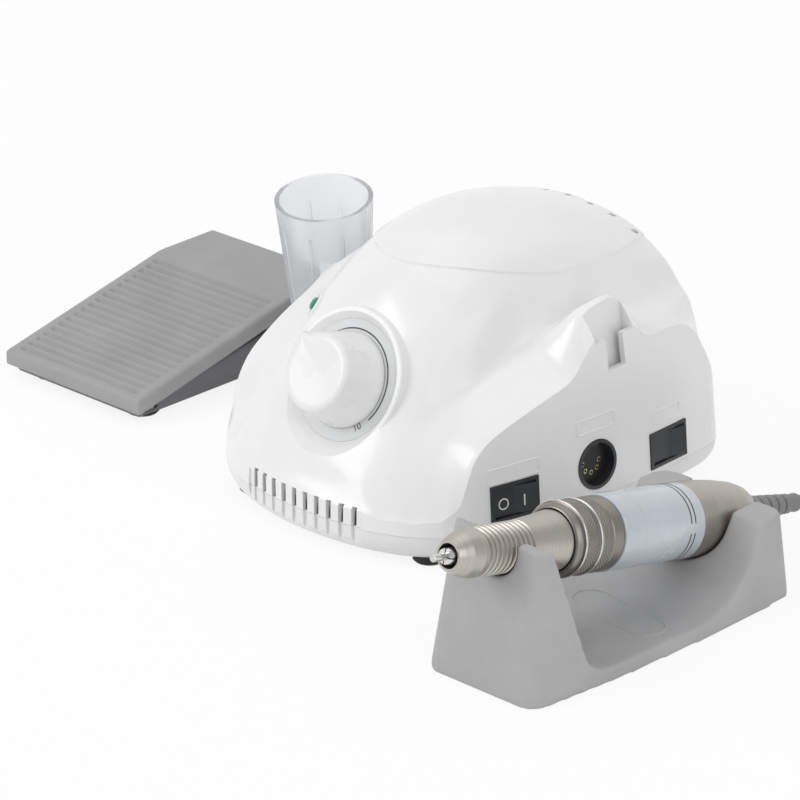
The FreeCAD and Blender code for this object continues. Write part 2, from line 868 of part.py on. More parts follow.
def heatSink():
    top = boardBottom + boardThick
    sink = box(14, 17, 0, 34, top, top + sinkHeight)
    fins = [box(16.5, 26, 3.5 + 9 * i, 5.5 + 9 * i, top, top + sinkHeight) for i in range(4)]
    return fuse(sink, *fins)


# Handpiece: its pieces are turned about local Z, which runs from nose to tail
handOrigin = Vector(handX, handNoseY, handNoseZ)
handAxis = Vector(0, math.cos(handTilt), -math.sin(handTilt))
handUp = Vector(0, math.sin(handTilt), math.cos(handTilt))


def onHand(shape):
    return framed(shape, handOrigin, handUp.cross(handAxis), handUp, handAxis)


def handPoint(s):
    return handOrigin + handAxis * s


def noseShell():
    outer = [(noseRingRadius, 0.0), (noseRingRadius + 0.7, 0.0), (5.6, 1.6), (6.8, 4.6), (noseRadius, 8.6)]
    for i in range(grooveCount):
        s = grooveStart + i * groovePitch
        r = noseRadius + 0.35 * i / grooveCount
        outer += [(r, s - 0.55), (r - grooveDepth, s - 0.1), (r - grooveDepth, s + 0.35), (r, s + 0.8)]
    outer += [(noseRadius + 0.6, 34.0), (8.7, 40.0), (coneRadius, coneEnd - 0.2)]
    bore = spindleRadius + 0.6
    inner = [(bore + 1.6, coneEnd - 0.2), (bore + 1.6, 34.0), (bore, 33.0), (bore, 6.0),
             (noseRingRadius, 5.0)]
    return onHand(turned(outer + inner))


def lockCollar():
    outer = [(coneRadius, coneEnd), (coneRadius + 0.6, coneEnd + 0.4), (coneRadius + 0.9, coneEnd + 2.6)]
    outer += [(coneRadius + 0.4, coneEnd + 2.9), (coneRadius + 0.4, coneEnd + 3.5), (10.8, coneEnd + 3.8)]
    outer += [(11.4, coneEnd + 9.4), (11.0, coneEnd + 9.8), (11.0, coneEnd + 10.5), (11.7, coneEnd + 10.9)]
    outer += [(collarRadius, collarEnd - 1.2), (collarRadius - 0.3, collarEnd - 0.3)]
    inner = [(bearingRadius + 0.9, collarEnd - 0.3), (bearingRadius + 0.9, coneEnd)]
    return onHand(turned(outer + inner))


def sleeveShell():
    r = sleeveRadius
    outer = [(bearingRadius + 0.4, coneEnd), (bearingRadius + 0.8, coneEnd), (bearingRadius + 0.8, collarEnd),
             (r - 0.3, collarEnd), (r, collarEnd + 0.5), (r, 78.4),
             (r - 0.12, 78.6), (r, 78.9), (r, sleeveEnd)]
    inner = [(r - shellThick, sleeveEnd), (r - shellThick, collarEnd + 2.0),
             (bearingRadius + 0.02, collarEnd + 2.0)]
    inner += [(bearingRadius + 0.02, coneEnd + 6.0), (bearingRadius - 1.0, coneEnd + 6.0),
              (bearingRadius - 1.0, coneEnd)]
    return onHand(turned(outer + inner))


def noseLink():
    """Threaded tube that joins the nose to the sleeve under the collar."""
    r = spindleRadius + 2.2
    tube = [(r - 0.02, 35.0), (r - 0.02, coneEnd + 5.9), (r - 1.2, coneEnd + 5.9), (r - 1.2, 35.0)]
    return onHand(turned(tube))


def tailShell():
    r = sleeveRadius
    outer = [(r, sleeveEnd + 0.02), (r, 116.0), (11.4, 126.0), (10.2, 134.0), (8.8, 138.6),
             (tailEndRadius, tailEnd)]
    inner = [(reliefRoot, tailEnd), (reliefRoot, tailEnd - reliefTuck), (8.0, 132.0), (r - shellThick, 124.0),
             (r - shellThick, sleeveEnd + 0.02)]
    return onHand(turned(outer + inner))


def strainRelief():
    """Tapered sleeve with ring ribs round the cord."""
    root = reliefRoot - pressClearance
    profile = [(0, tailEnd - reliefTuck), (root, tailEnd - reliefTuck), (root, tailEnd + 0.2)]
    for i in range(reliefRibs):
        s = tailEnd + 1.5 + i * reliefPitch
        r = 4.6 - 0.26 * i
        profile += [(r, s - 1.2), (r, s + 1.7), (r - 1.0, s + 2.0), (r - 1.0, s + 2.9)]
    end = tailEnd + reliefLength
    profile += [(3.1, end - 1.0), (3.1, end), (0, end)]
    return onHand(turned(profile))


def spindle():
    return onHand(fuse(cylinder(spindleRadius, 7.0, spindleStep), cylinder(spindleThin, spindleStep, 124.0)))


def collet():
    outer = [(0, -1.6), (2.4, -1.6), (noseRingRadius - 0.9, 0.4), (noseRingRadius - 0.6, 4.0),
             (spindleRadius, 7.0), (0, 7.0)]
    body = turned(outer).cut(cylinder(bitRadius + pressClearance, -3, 6.8))
    slits = fuse(box(-4, 4, -0.2, 0.2, -3, 3.2), box(-0.2, 0.2, -4, 4, -3, 3.2))
    return onHand(body.cut(slits))


def bit():
    shank = turned([(0, -bitReach), (bitRadius - 0.2, -bitReach), (bitRadius, -bitReach + 0.3),
                    (bitRadius, 6.7), (0, 6.7)])
    return onHand(shank)


def bearing(s0, s1, outer):
    inner = spindleRadius if s0 < spindleStep else spindleThin
    return onHand(cylinder(outer, s0, s1).cut(cylinder(inner + 0.03, s0 - 1, s1 + 1)))


def motorRotor():
    return onHand(cylinder(6.6, 84.0, 110.0).cut(cylinder(spindleThin + pressClearance, 80, 115)))


def motorStator():
    r = sleeveRadius - shellThick - pressClearance
    return onHand(cylinder(r, 80.0, 114.0).cut(cylinder(7.0, 78, 116)))


def rearBearingPlate():
    r = sleeveRadius - shellThick - pressClearance
    return onHand(cylinder(r, 117.0, 123.0).cut(cylinder(4.6, 110, 130)))


# Rest: a saddle shape, low between a tall front post and a short rear post
def restPlan(grow):
    f = restFrontHalf + grow
    b = restRearHalf + grow
    return [(handX - f, restFrontY), (handX + f, restFrontY), (handX + b - 2.0, -72.0), (handX + b, -30.0),
            (handX + b - 0.5, restRearY), (handX - b + 0.5, restRearY), (handX - b, -30.0),
            (handX - b + 2.0, -72.0)]


def restBody():
    lower = Part.Face(polygon([(x, y, 0.0) for x, y in restPlan(0.0)]))
    upper = Part.Face(polygon([(handX + (x - handX) * restTaper,
                                y + (8.6 if y < -100 else (-5.0 if y > 0 else 0)), 52.0)
                               for x, y in restPlan(0.0)]))
    block = Part.makeLoft([lower.OuterWire, upper.OuterWire], True, True)
    corners = [e for e in block.Edges if e.BoundBox.ZLength > 40 and
               (e.CenterOfMass.y < -95 or e.CenterOfMass.y > 0)]
    block = block.makeFillet(restCornerRadius, corners)
    side = [Part.makeLine(Vector(0, -130, -1), Vector(0, -130, restFrontTop))]
    side.append(Part.makeLine(Vector(0, -130, restFrontTop), Vector(0, -96.0, restFrontTop)))
    side.append(Part.makeLine(Vector(0, -96.0, restFrontTop), Vector(0, -85.5, 13.0)))
    side.append(Part.Arc(Vector(0, -85.5, 13.0), Vector(0, -82.6, 7.6),
                         Vector(0, -76.0, restFloor)).toShape())
    side.append(Part.makeLine(Vector(0, -76.0, restFloor), Vector(0, -40.0, restFloor)))
    side.append(Part.Arc(Vector(0, -40.0, restFloor), Vector(0, -20.0, 9.0), Vector(0, -7.0, 22.0)).toShape())
    side.append(Part.makeLine(Vector(0, -7.0, 22.0), Vector(0, -3.0, restRearTop)))
    side.append(Part.makeLine(Vector(0, -3.0, restRearTop), Vector(0, 30.0, restRearTop)))
    side.append(Part.makeLine(Vector(0, 30.0, restRearTop), Vector(0, 30.0, -1)))
    side.append(Part.makeLine(Vector(0, 30.0, -1), Vector(0, -130, -1)))
    profile = Part.Face(Part.Wire(side)).extrude(Vector(300, 0, 0))
    rest = block.common(profile)
    # Saddles follow the handpiece and open straight up
    seat = turned([(0, 4.0), (6.6, 4.0), (noseRadius + saddleGap, 9.0), (noseRadius + saddleGap + 0.5, 34.0),
                   (coneRadius + 0.6, coneEnd), (sleeveRadius + saddleGap, 60.0),
                   (sleeveRadius + saddleGap, 116.5), (11.8, 126.0), (10.7, 134.0), (9.2, 139.0),
                   (8.0, 145.0), (0, 145.0)])
    rest = rest.cut(onHand(seat))
    front = noseRadius + saddleGap + 0.3
    rear = sleeveRadius + saddleGap
    rest = rest.cut(box(handX - front, handX + front, -112, -92, handPoint(20).z, 80))
    rest = rest.cut(box(handX - rear, handX + rear, -60, 20, handPoint(125).z + 1.0, 80))
    return rest


# Foot pedal
def pedalSlope(y):
    share = clamp((y - pedalToeY) / (pedalBreakY - pedalToeY))
    return pedalToeTop + (pedalRearTop - pedalToeTop) * share


def capProfile(sink, front, rear):
    return [(front, pedalToeTop - sink), (pedalBreakY, pedalRearTop - sink),
            (rear, pedalRearTop + 0.6 - sink)]


def pedalTread():
    w = pedalHalfWidth
    top = capProfile(0.0, pedalToeY, pedalRearY)
    low = [(pedalRearY, pedalRearTop + 0.6 - capSkirt - 1), (pedalBreakY, pedalRearTop - capSkirt),
           (pedalToeY, pedalToeTop - capSkirt)]
    outer = prismYZ(top + low, pedalX - w, pedalX + w)
    rims = []
    for edge in outer.Edges:
        middle = edge.CenterOfMass
        if abs(abs(middle.x - pedalX) - w) < 0.1 and middle.z > pedalSlope(middle.y) - 1.0:
            rims.append(edge)
    outer = outer.makeFillet(pedalRim, rims)
    top = capProfile(capWall, pedalToeY + capWall, pedalRearY - capWall)
    low = [(pedalRearY - capWall, pedalRearTop - 20), (pedalBreakY, pedalRearTop - 24),
           (pedalToeY + capWall, -12.0)]
    inner = prismYZ(top + low, pedalX - w + capWall, pedalX + w - capWall)
    cap = outer.cut(inner)
    slope = math.atan2(pedalRearTop - pedalToeTop, pedalBreakY - pedalToeY)
    length = (pedalBreakY - pedalToeY) / math.cos(slope)
    pitch = (length - 7.0) / treadGrooves
    cuts = []
    for i in range(treadGrooves):
        s = 4.4 + i * pitch
        half = treadGrooveWidth / 2
        cuts.append(box(pedalX - w + 5.0, pedalX + w - 5.0, s - half, s + half, -treadGrooveDepth, 3.0))
    grooves = Part.makeCompound(cuts)
    grooves.rotate(Vector(0, 0, 0), Vector(1, 0, 0), math.degrees(slope))
    grooves.translate(Vector(0, pedalToeY, pedalToeTop))
    cap = cap.cut(grooves)
    ears = []
    for side in (-1, 1):
        x = pedalX + side * (w - capWall - earOffset)
        half = earThick / 2
        ear = box(x - half, x + half, hingeY - 3.2, hingeY + 3.2, hingeZ - 3.0,
                  pedalSlope(hingeY) - capWall + 0.4)
        ears.append(ear)
    boss = cylinder(3.0, switchTop + plungerGap, pedalSlope(switchY) - capWall + 0.6, pedalX, switchY)
    seat = turned([(0, 0), (springRadius + 1.2, 0), (springRadius + 1.2, 6.0), (0, 6.0)])
    seat.translate(Vector(pedalX, springY, springTop + 0.1))
    seat = seat.common(inner.fuse(outer))
    cap = cap.fuse(ears + [boss, seat])
    pin = Part.makeCylinder(hingePinRadius + shaftClearance, 80, Vector(pedalX - 40, hingeY, hingeZ),
                            Vector(1, 0, 0))
    return cap.cut(pin.common(box(pedalX - w + capWall, pedalX + w - capWall, -60, 80, -5, 60)))


def pedalBase():
    w = pedalHalfWidth - capWall - capGap
    front = pedalToeY + capWall + capGap
    rear = pedalRearY - capWall - capGap - 0.5
    drop = 7.6
    shape = [(front, pedalFloor), (rear, pedalFloor), (rear, pedalRearTop - capWall - drop - 1.2),
             (pedalBreakY, pedalRearTop - capWall - drop),
             (hingeY + 4, pedalSlope(hingeY + 4) - capWall - 2.6),
             (front, pedalToeTop - capWall - 1.2)]
    outer = prismYZ(shape, pedalX - w, pedalX + w)
    inner = box(pedalX - w + 2.2, pedalX + w - 2.2, front + 2.2, rear - 2.2, pedalFloor + pedalPlate, 60)
    base = outer.cut(inner)
    lugs = []
    for side in (-1, 1):
        x = pedalX + side * (pedalHalfWidth - capWall - earOffset)
        base = base.cut(box(x - 1.9, x + 1.9, hingeY - 4.2, hingeY + 4.2, pedalFloor + 0.6, 20))
        inside = x - side * 3.7
        lugs.append(box(inside - 1.5, inside + 1.5, hingeY - 3.0, hingeY + 3.0, pedalFloor + 1, hingeZ + 2.6))
    cup = turned([(springRadius + 1.0, 0), (springRadius + 2.2, 0), (springRadius + 2.2, 4.0),
                  (springRadius + 1.0, 4.0)])
    cup.translate(Vector(pedalX, springY, pedalFloor + pedalPlate - 0.2))
    base = base.fuse(lugs + [cup])
    pin = Part.makeCylinder(hingePinRadius + 0.01, 80, Vector(pedalX - 40, hingeY, hingeZ), Vector(1, 0, 0))
    gland = Part.makeCylinder(pedalGlandRadius, 12, Vector(pedalX, rear - 8, pedalGlandZ), Vector(0, 1, 0))
    return base.cut([pin, gland])


def pedalHingePin():
    reach = pedalHalfWidth - capWall - capGap
    return Part.makeCylinder(hingePinRadius, 2 * reach, Vector(pedalX - reach, hingeY, hingeZ),
                             Vector(1, 0, 0))


def pedalSpring():
    """Return spring, plain because the pedal hides it: the tube that its turns fill."""
    spring = cylinder(springRadius + springWire, springBottom, springTop, pedalX, springY)
    return spring.cut(cylinder(springRadius - springWire, springBottom - 1, springTop + 1, pedalX, springY))


def pedalSwitch():
    low = pedalFloor + pedalPlate
    body = box(pedalX - 10, pedalX + 10, switchY - 3.2, switchY + 3.2, low, switchTop - 3.0)
    return body.cut(cylinder(plungerRadius + 0.1, low + 0.6, 20, pedalX, switchY))


def pedalPlunger():
    return cylinder(plungerRadius, switchTop - plungerLength, switchTop, pedalX, switchY)


def pedalGland():
    rear = pedalRearY - capWall - capGap - 0.5
    neck = pedalGlandRadius - panelFit
    profile = [(0, -4.6), (neck, -4.6), (neck, 0.02), (neck + 0.6, 0.02), (neck - 0.2, 1.6), (0, 1.6)]
    gland = turned(profile).cut(cylinder(1.8, -10, 12))
    return framed(gland, Vector(pedalX, rear, pedalGlandZ), Vector(-1, 0, 0), zAxis, Vector(0, 1, 0))


def pedalFoot(x, y):
    r = pedalFootRadius
    return turned([(0, 0), (r - 0.8, 0), (r, 0.8), (r, pedalFloor),
                   (0, pedalFloor)]).translated(Vector(x, y, 0))


# Bit holder cup, drawn beside the right wall and mirrored to the left
def inCupAxes(shape):
    axis = Vector(-math.tan(cupTilt), -math.tan(cupLean), 1).normalize()
    forward = axis.cross(Vector(1, 0, 0)).normalize()
    return framed(shape, Vector(cupX, cupY, cupTopZ), forward.cross(axis), forward, axis)


def holderCup():
    base = cupBaseRadius - cupWall
    outer = turned([(0, -cupLength), (cupBaseRadius - 1.2, -cupLength), (cupBaseRadius, -cupLength + 1.2),
                    (cupRimRadius, 0), (0, 0)])
    inner = turned([(0, -cupLength + cupWall), (base, -cupLength + cupWall), (cupRimRadius - cupWall, 1),
                    (0, 1)])
    core = turned([(0, -cupLength - 1), (base - 1.0, -cupLength - 1), (cupRimRadius - cupWall - 1.0, 1),
                   (0, 1)])
    ribs = []
    half = cupRibWidth / 2
    for i in range(cupRibs):
        rib = box(base - 2.0, cupRimRadius + 2.0, -half, half, -cupLength + 0.6, -9.0)
        rib.rotate(Vector(0, 0, 0), zAxis, 360.0 * i / cupRibs + 22.5)
        ribs.append(rib)
    fins = Part.makeCompound(ribs).common(outer).cut(core)
    shell = outer.cut(inner)
    stem = slotStemWidth / 2 - hookGap
    head = slotHeadWidth / 2 - hookGap
    plate = slotLip + slotPocketDepth - hookGap
    neck = box(-stem, stem, hookGap, hookHeight, -slotLip - hookGap - 0.3, 9.0)
    hook = fuse(neck, box(-head, head, hookGap, hookHeight, -plate, -slotLip - hookGap))
    hook = atLeftSlot(hook).cut(inCupAxes(inner))
    return mirrored(inCupAxes(shell).fuse([inCupAxes(fins), hook]).removeSplitter())


# Cord: straight runs joined by tangent arcs
cordEnd = handPoint(tailEnd + reliefLength)
coilStart = Vector(coilX - coilInner - coilPitch * coilTurns, coilY, cordRadius)
cordLead = 2 * cordRadius
cordPoints = [
    (cordEnd.x, cordEnd.y, cordEnd.z),
    (cordEnd.x, cordEnd.y + cordRun * math.cos(handTilt), cordEnd.z - cordRun * math.sin(handTilt)),
    (coilStart.x + 0.6, coilStart.y - cordLead - 25.6, cordRadius + 1.2),
    (coilStart.x, coilStart.y - cordLead - 12.4, cordRadius),
    (coilStart.x, coilStart.y - cordLead, cordRadius),
]


def tangentPath(points):
    """Wire of straight runs with an arc at each inner point, and its smallest radius."""
    corners = [Vector(*p) for p in points]
    edges = []
    start = corners[0]
    smallest = None
    for i in range(1, len(corners) - 1):
        before = corners[i] - corners[i - 1]
        after = corners[i + 1] - corners[i]
        turn = before.getAngle(after)
        back = 0.45 * min(before.Length, after.Length)
        radius = back / math.tan(turn / 2)
        smallest = radius if smallest is None else min(smallest, radius)
        a = corners[i] - Vector(before).normalize() * back
        b = corners[i] + Vector(after).normalize() * back
        inward = (Vector(after).normalize() - Vector(before).normalize()).normalize()
        rise = back / math.cos(turn / 2) - back * math.tan(turn / 2)
        reach = back * math.tan(turn / 4)
        chord = (a + b) * 0.5
        sagitta = radius * (1 - math.cos(turn / 2))
        middle = chord - inward * sagitta
        edges.append(Part.makeLine(start, a))
        edges.append(Part.Arc(a, middle, b).toShape())
        start = b
    edges.append(Part.makeLine(start, corners[-1]))
    return Part.Wire(edges), smallest


def tubeAlong(wire, radius):
    first = wire.OrderedEdges[0]
    start = first.valueAt(first.FirstParameter)
    along = first.tangentAt(first.FirstParameter)
    ring = Part.Wire(Part.makeCircle(radius, start, along))
    return wire.makePipeShell([ring], True, False)


def handCord():
    wire, smallest = tangentPath(cordPoints)
    tube = tubeAlong(wire, cordRadius)
    print("cord", "length", round(wire.Length, 1), "least radius", round(smallest, 1),
          "volume over section times length",
          round(tube.Volume / (math.pi * cordRadius ** 2 * wire.Length), 4))
    return tube


def biarc(p0, t0, p1, t1):
    """Two arcs that leave p0 along t0 and reach p1 along t1, for opposite tangents."""
    v = p1 - p0
    d = v.Length / 2
    joint = (p0 + p1) * 0.5 + t0 * d
    arcs = []
    for a, t, b in ((p0, t0, joint), (p1, t1 * -1, joint)):
        chord = b - a
        side = chord - t * chord.dot(t)
        radius = chord.dot(chord) / (2 * side.Length)
        centre = a + side.normalize() * radius
        middle = centre + ((a + b) * 0.5 - centre).normalize() * radius
        arcs.append((a, middle, b))
    first, second = arcs
    return [Part.Arc(*first).toShape(), Part.Arc(second[2], second[1], second[0]).toShape()]


def cordCoil():
    """Spiral in on the floor, climb a layer in half a turn and spiral out again."""
    halves = 2 * coilTurns
    radii = [coilInner + coilPitch * coilTurns - coilPitch / 2 * k for k in range(halves)]
    radii[-1] -= coilClimbStep
    stops = [(r, cordRadius) for r in radii] + [(r, cordRadius + coilPitch) for r in reversed(radii)]
    edges = []
    points = []
    for k, (r, z) in enumerate(stops):
        side = -1 if k % 2 == 0 else 1
        points.append((Vector(coilX + side * r, coilY, z), Vector(0, -side, 0)))
    edges.append(Part.makeLine(points[0][0] - points[0][1] * cordLead, points[0][0]))
    for (a, ta), (b, tb) in zip(points, points[1:]):
        edges += biarc(a, ta, b, tb)
    last, heading = points[-1]
    edges.append(Part.makeLine(last, last + heading * cordLead))
    wire = Part.Wire(edges)
    tube = tubeAlong(wire, cordRadius)
    samples = wire.discretize(Number=900)
    step = wire.Length / 899
    skip = int(4 * math.pi * cordRadius / step)
    least = 1e9
    for i in range(0, len(samples), 3):
        for j in range(i + skip, len(samples), 2):
            gap = samples[i].distanceToPoint(samples[j]) - 2 * cordRadius
            least = min(least, gap)
    print("coil", "length", round(wire.Length, 1), "least gap to itself", round(least, 2),
          "volume over section times length",
          round(tube.Volume / (math.pi * cordRadius ** 2 * wire.Length), 4))
    return tube, last + heading * cordLead


def atCordEnd(shape, place):
    """Local Z runs away from the cord, on towards the plug's mouth."""
    return framed(shape, place, Vector(1, 0, 0), zAxis, Vector(0, -1, 0))


def dinPlug(place):
    """Round plug with a ribbed relief, its mouth a bare metal sleeve."""
    profile = [(0, 0), (2.4, 0)]
    for i in range(3):
        s = 1.6 + i * 3.8
        r = 3.0 + 0.5 * i
        profile += [(r, s), (r, s + 2.2), (r - 0.8, s + 2.5), (r - 0.8, s + 3.5)]
    body = plugReliefLength
    end = body + plugLength
    profile += [(5.4, body), (plugRadius, body + 2.0), (plugRadius, end), (plugSleeveRadius, end)]
    mouth = plugSleeveRadius - plugSleeveWall
    profile += [(plugSleeveRadius, end + plugShellReach), (mouth, end + plugShellReach), (mouth, end + 0.5),
                (0, end + 0.5)]
    holes = [cylinder(plugPinRadius + pressClearance, end - 3.0, end + 1, *p) for p in socketPins]
    return atCordEnd(turned(profile).cut(holes), place)


def dinPlugPins(place):
    end = plugReliefLength + plugLength
    pins = [cylinder(plugPinRadius, end - 2.9, end + plugShellReach - 0.8, *p) for p in socketPins]
    return atCordEnd(Part.makeCompound(pins), place)


nodes = {}


def keep(name, shape):
    nodes[name] = shape


keep("upper_housing", upperHousing())
keep("base_tray", baseTray())
for number, (x, y) in enumerate(footPlaces, 1):
    keep("rubber_foot_%d" % number, rubberFoot(x, y))
keep("housing_screws", housingScrews())
keep("dial_plate", dialPlate())
keep("speed_knob", speedKnob())
keep("potentiometer_shaft", potShaft())
keep("potentiometer", potentiometer())
keep("potentiometer_nut", potNut())
keep("led_lens", ledLens())
keep("power_switch_frame", switchFrame(powerY, powerZ))
keep("power_rocker", rocker(powerY, powerZ))
keep("direction_switch_frame", switchFrame(directionY, directionZ))
keep("direction_rocker", rocker(directionY, directionZ))
keep("motor_socket", motorSocket())
keep("socket_insert", socketInsert())
keep("socket_contacts", socketContacts())
keep("pedal_jack", pedalJack())
keep("fuse_holder", fuseHolder())
keep("mains_gland", mainsGland())
keep("transformer_core", transformerCore())
keep("transformer_winding", transformerWinding())
keep("circuit_board", circuitBoard())
keep("board_screws", boardScrews())
keep("capacitor", capacitor())
keep("heat_sink", heatSink())
keep("handpiece_nose", noseShell())
keep("lock_collar", lockCollar())
keep("handpiece_sleeve", sleeveShell())
keep("nose_link", noseLink())
keep("handpiece_tail", tailShell())
keep("strain_relief", strainRelief())
keep("spindle", spindle())
keep("collet", collet())
keep("bit", bit())
keep("front_bearing", bearing(coneEnd + 6.2, coneEnd + 12.2, bearingRadius))
keep("rear_bearing", bearing(118.0, 122.0, 4.58))
keep("bearing_plate", rearBearingPlate())
keep("motor_rotor", motorRotor())
keep("motor_stator", motorStator())
keep("handpiece_rest", restBody())
keep("pedal_tread", pedalTread())
keep("pedal_base", pedalBase())
keep("pedal_hinge_pin", pedalHingePin())
keep("pedal_spring", pedalSpring())
keep("pedal_switch", pedalSwitch())
keep("pedal_plunger", pedalPlunger())
keep("pedal_gland", pedalGland())
pedalFootXs = (pedalX - pedalFootX, pedalX + pedalFootX)
for number, (x, y) in enumerate([(x, y) for y in pedalFootYs for x in pedalFootXs], 1):
    keep("pedal_foot_%d" % number, pedalFoot(x, y))
keep("holder_cup", holderCup())
keep("handpiece_cord", handCord())
coil, coilExit = cordCoil()
keep("cord_coil", coil)
keep("din_plug", dinPlug(coilExit))
keep("din_plug_pins", dinPlugPins(coilExit))

# The set's own frame: the table under the middle of everything but the loose cord
outermost = ("pedal_tread", "handpiece_rest", "bit", "fuse_holder", "mains_gland")
footprint = Part.makeCompound([nodes[name] for name in outermost]).BoundBox
shift = Vector(-footprint.Center.x, -footprint.Center.y, 0)
print("shift", round(shift.x, 3), round(shift.y, 3))
for name, shape in nodes.items():
    shape.translate(shift)
    bad = "" if shape.isValid() else " INVALID"
    print(name, len(shape.Solids), round(shape.Volume, 1), bad)
    shape.exportStep("parts/%s.step" % name)
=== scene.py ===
# Nail drill set: white control box, steel handpiece on a grey rest, grey treadle pedal, frosted bit cup.
# Metres, +Z up, the dial towards -Y. New surfaces are numpy grids, placed from the frame's own nodes.
import json
import math

import bmesh
import bpy
import numpy as np
from mathutils import Matrix, Vector


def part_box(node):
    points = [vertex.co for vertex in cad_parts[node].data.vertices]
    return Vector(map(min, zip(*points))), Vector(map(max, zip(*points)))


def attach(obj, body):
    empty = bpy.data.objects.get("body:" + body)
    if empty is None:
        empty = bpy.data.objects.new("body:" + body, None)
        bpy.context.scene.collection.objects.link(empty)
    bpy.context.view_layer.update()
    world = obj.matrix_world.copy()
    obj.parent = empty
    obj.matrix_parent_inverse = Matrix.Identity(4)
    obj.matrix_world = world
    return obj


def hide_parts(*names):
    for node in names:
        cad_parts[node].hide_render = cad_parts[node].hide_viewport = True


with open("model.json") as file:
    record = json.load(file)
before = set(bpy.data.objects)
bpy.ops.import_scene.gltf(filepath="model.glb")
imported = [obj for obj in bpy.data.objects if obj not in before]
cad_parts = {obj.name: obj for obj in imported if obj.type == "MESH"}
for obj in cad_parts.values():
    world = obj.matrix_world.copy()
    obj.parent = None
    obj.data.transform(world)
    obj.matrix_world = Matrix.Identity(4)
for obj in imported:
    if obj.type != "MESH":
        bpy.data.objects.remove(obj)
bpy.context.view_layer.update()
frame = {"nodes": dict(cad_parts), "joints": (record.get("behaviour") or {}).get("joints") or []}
nodes = frame["nodes"]
joints = {j["name"]: j for j in frame["joints"]}
mm = 0.001

# The middle of the control box on the table, found from its front right foot
footPlace = (40.0, -50.0)
footLow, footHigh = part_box("rubber_foot_1")
boxX = (footLow.x + footHigh.x) / 2 - footPlace[0] * mm
boxY = (footLow.y + footHigh.y) / 2 - footPlace[1] * mm


# Millimetres from the middle of the control box to metres in the frame.
def atBox(x, y, z):
    return Vector((boxX + x * mm, boxY + y * mm, z * mm))


# Camera: a long lens from the front right, as in the photograph
camera = {"azimuth": 43.5, "elevation": 23.0, "distance": 1355.9, "target": (-18.0, -2.7, 24.7), "lens": 180.0}


def makeCamera():
    a, e = math.radians(camera["azimuth"]), math.radians(camera["elevation"])
    back = Vector((math.sin(a) * math.cos(e), -math.cos(a) * math.cos(e), math.sin(e)))
    data = bpy.data.cameras.new("photoCamera")
    data.lens, data.sensor_width, data.sensor_height = camera["lens"], 36.0, 36.0
    data.sensor_fit = "HORIZONTAL"
    data.clip_end = 20.0
    eye = bpy.data.objects.new("photoCamera", data)
    bpy.context.scene.collection.objects.link(eye)
    eye.location = atBox(*camera["target"]) + back * camera["distance"] * mm
    eye.rotation_euler = back.to_track_quat("Z", "Y").to_euler()
    bpy.context.scene.camera = eye
    bpy.context.view_layer.update()
    return eye


makeCamera()
print("camera set")


# Colours are sRGB hex, turned to linear here
def hexColour(text, alpha=1.0):
    values = [int(text[i:i + 2], 16) / 255 for i in (1, 3, 5)]
    linear = [v / 12.92 if v <= 0.04045 else ((v + 0.055) / 1.055) ** 2.4 for v in values]
    return (*linear, alpha)


# One node with its properties, socket values and incoming links.
def addNode(tree, kind, settings=None, links=None):
    node = tree.nodes.new(kind)
    for key, value in (settings or {}).items():
        if hasattr(node, key) and key not in node.inputs:
            setattr(node, key, value)
        else:
            node.inputs[key].default_value = value
    for key, source in (links or {}).items():
        tree.links.new(source, node.inputs[key])
    return node


def newMaterial(name):
    material = bpy.data.materials.new(name)
    material.use_nodes = True
    material.node_tree.nodes.clear()
    return material, material.node_tree


def finishMaterial(tree, shader):
    out = addNode(tree, "ShaderNodeOutputMaterial")
    tree.links.new(shader.outputs[0], out.inputs["Surface"])


def colourRamp(tree, factor, stops):
    ramp = addNode(tree, "ShaderNodeValToRGB", links={"Fac": factor})
    while len(ramp.color_ramp.elements) < len(stops):
        ramp.color_ramp.elements.new(0.5)
    for element, (place, colour) in zip(ramp.color_ramp.elements, stops):
        element.position, element.color = place, hexColour(colour)
    return ramp


# Moulded plastic: faint cloudy tone, fine grain of a real size in millimetres and varied gloss.
def mouldedPlastic(name, light, dark, rough=(0.25, 0.35), grainSize=0.35, grainDepth=0.004, coat=0.0, ior=1.49):
    material, tree = newMaterial(name)
    place = addNode(tree, "ShaderNodeTexCoord").outputs["Object"]
    cloud = addNode(tree, "ShaderNodeTexNoise", {"Scale": 55.0, "Detail": 3.0}, {"Vector": place})
    tone = colourRamp(tree, cloud.outputs["Fac"], [(0.3, dark), (0.7, light)])
    grain = addNode(tree, "ShaderNodeTexNoise", {"Scale": 1.0 / (grainSize * mm), "Detail": 2.0},
                    {"Vector": place})
    gloss = addNode(tree, "ShaderNodeMapRange", {"To Min": rough[0], "To Max": rough[1]},
                    {"Value": cloud.outputs["Fac"]})
    bump = addNode(tree, "ShaderNodeBump", {"Strength": 0.5, "Distance": grainDepth * mm * 10},
                   {"Height": grain.outputs["Fac"]})
    shader = addNode(tree, "ShaderNodeBsdfPrincipled",
                     {"IOR": ior, "Coat Weight": coat, "Coat Roughness": 0.06},
                     {"Base Color": tone.outputs["Color"], "Roughness": gloss.outputs["Result"],
                      "Normal": bump.outputs["Normal"]})
    finishMaterial(tree, shader)
    return material


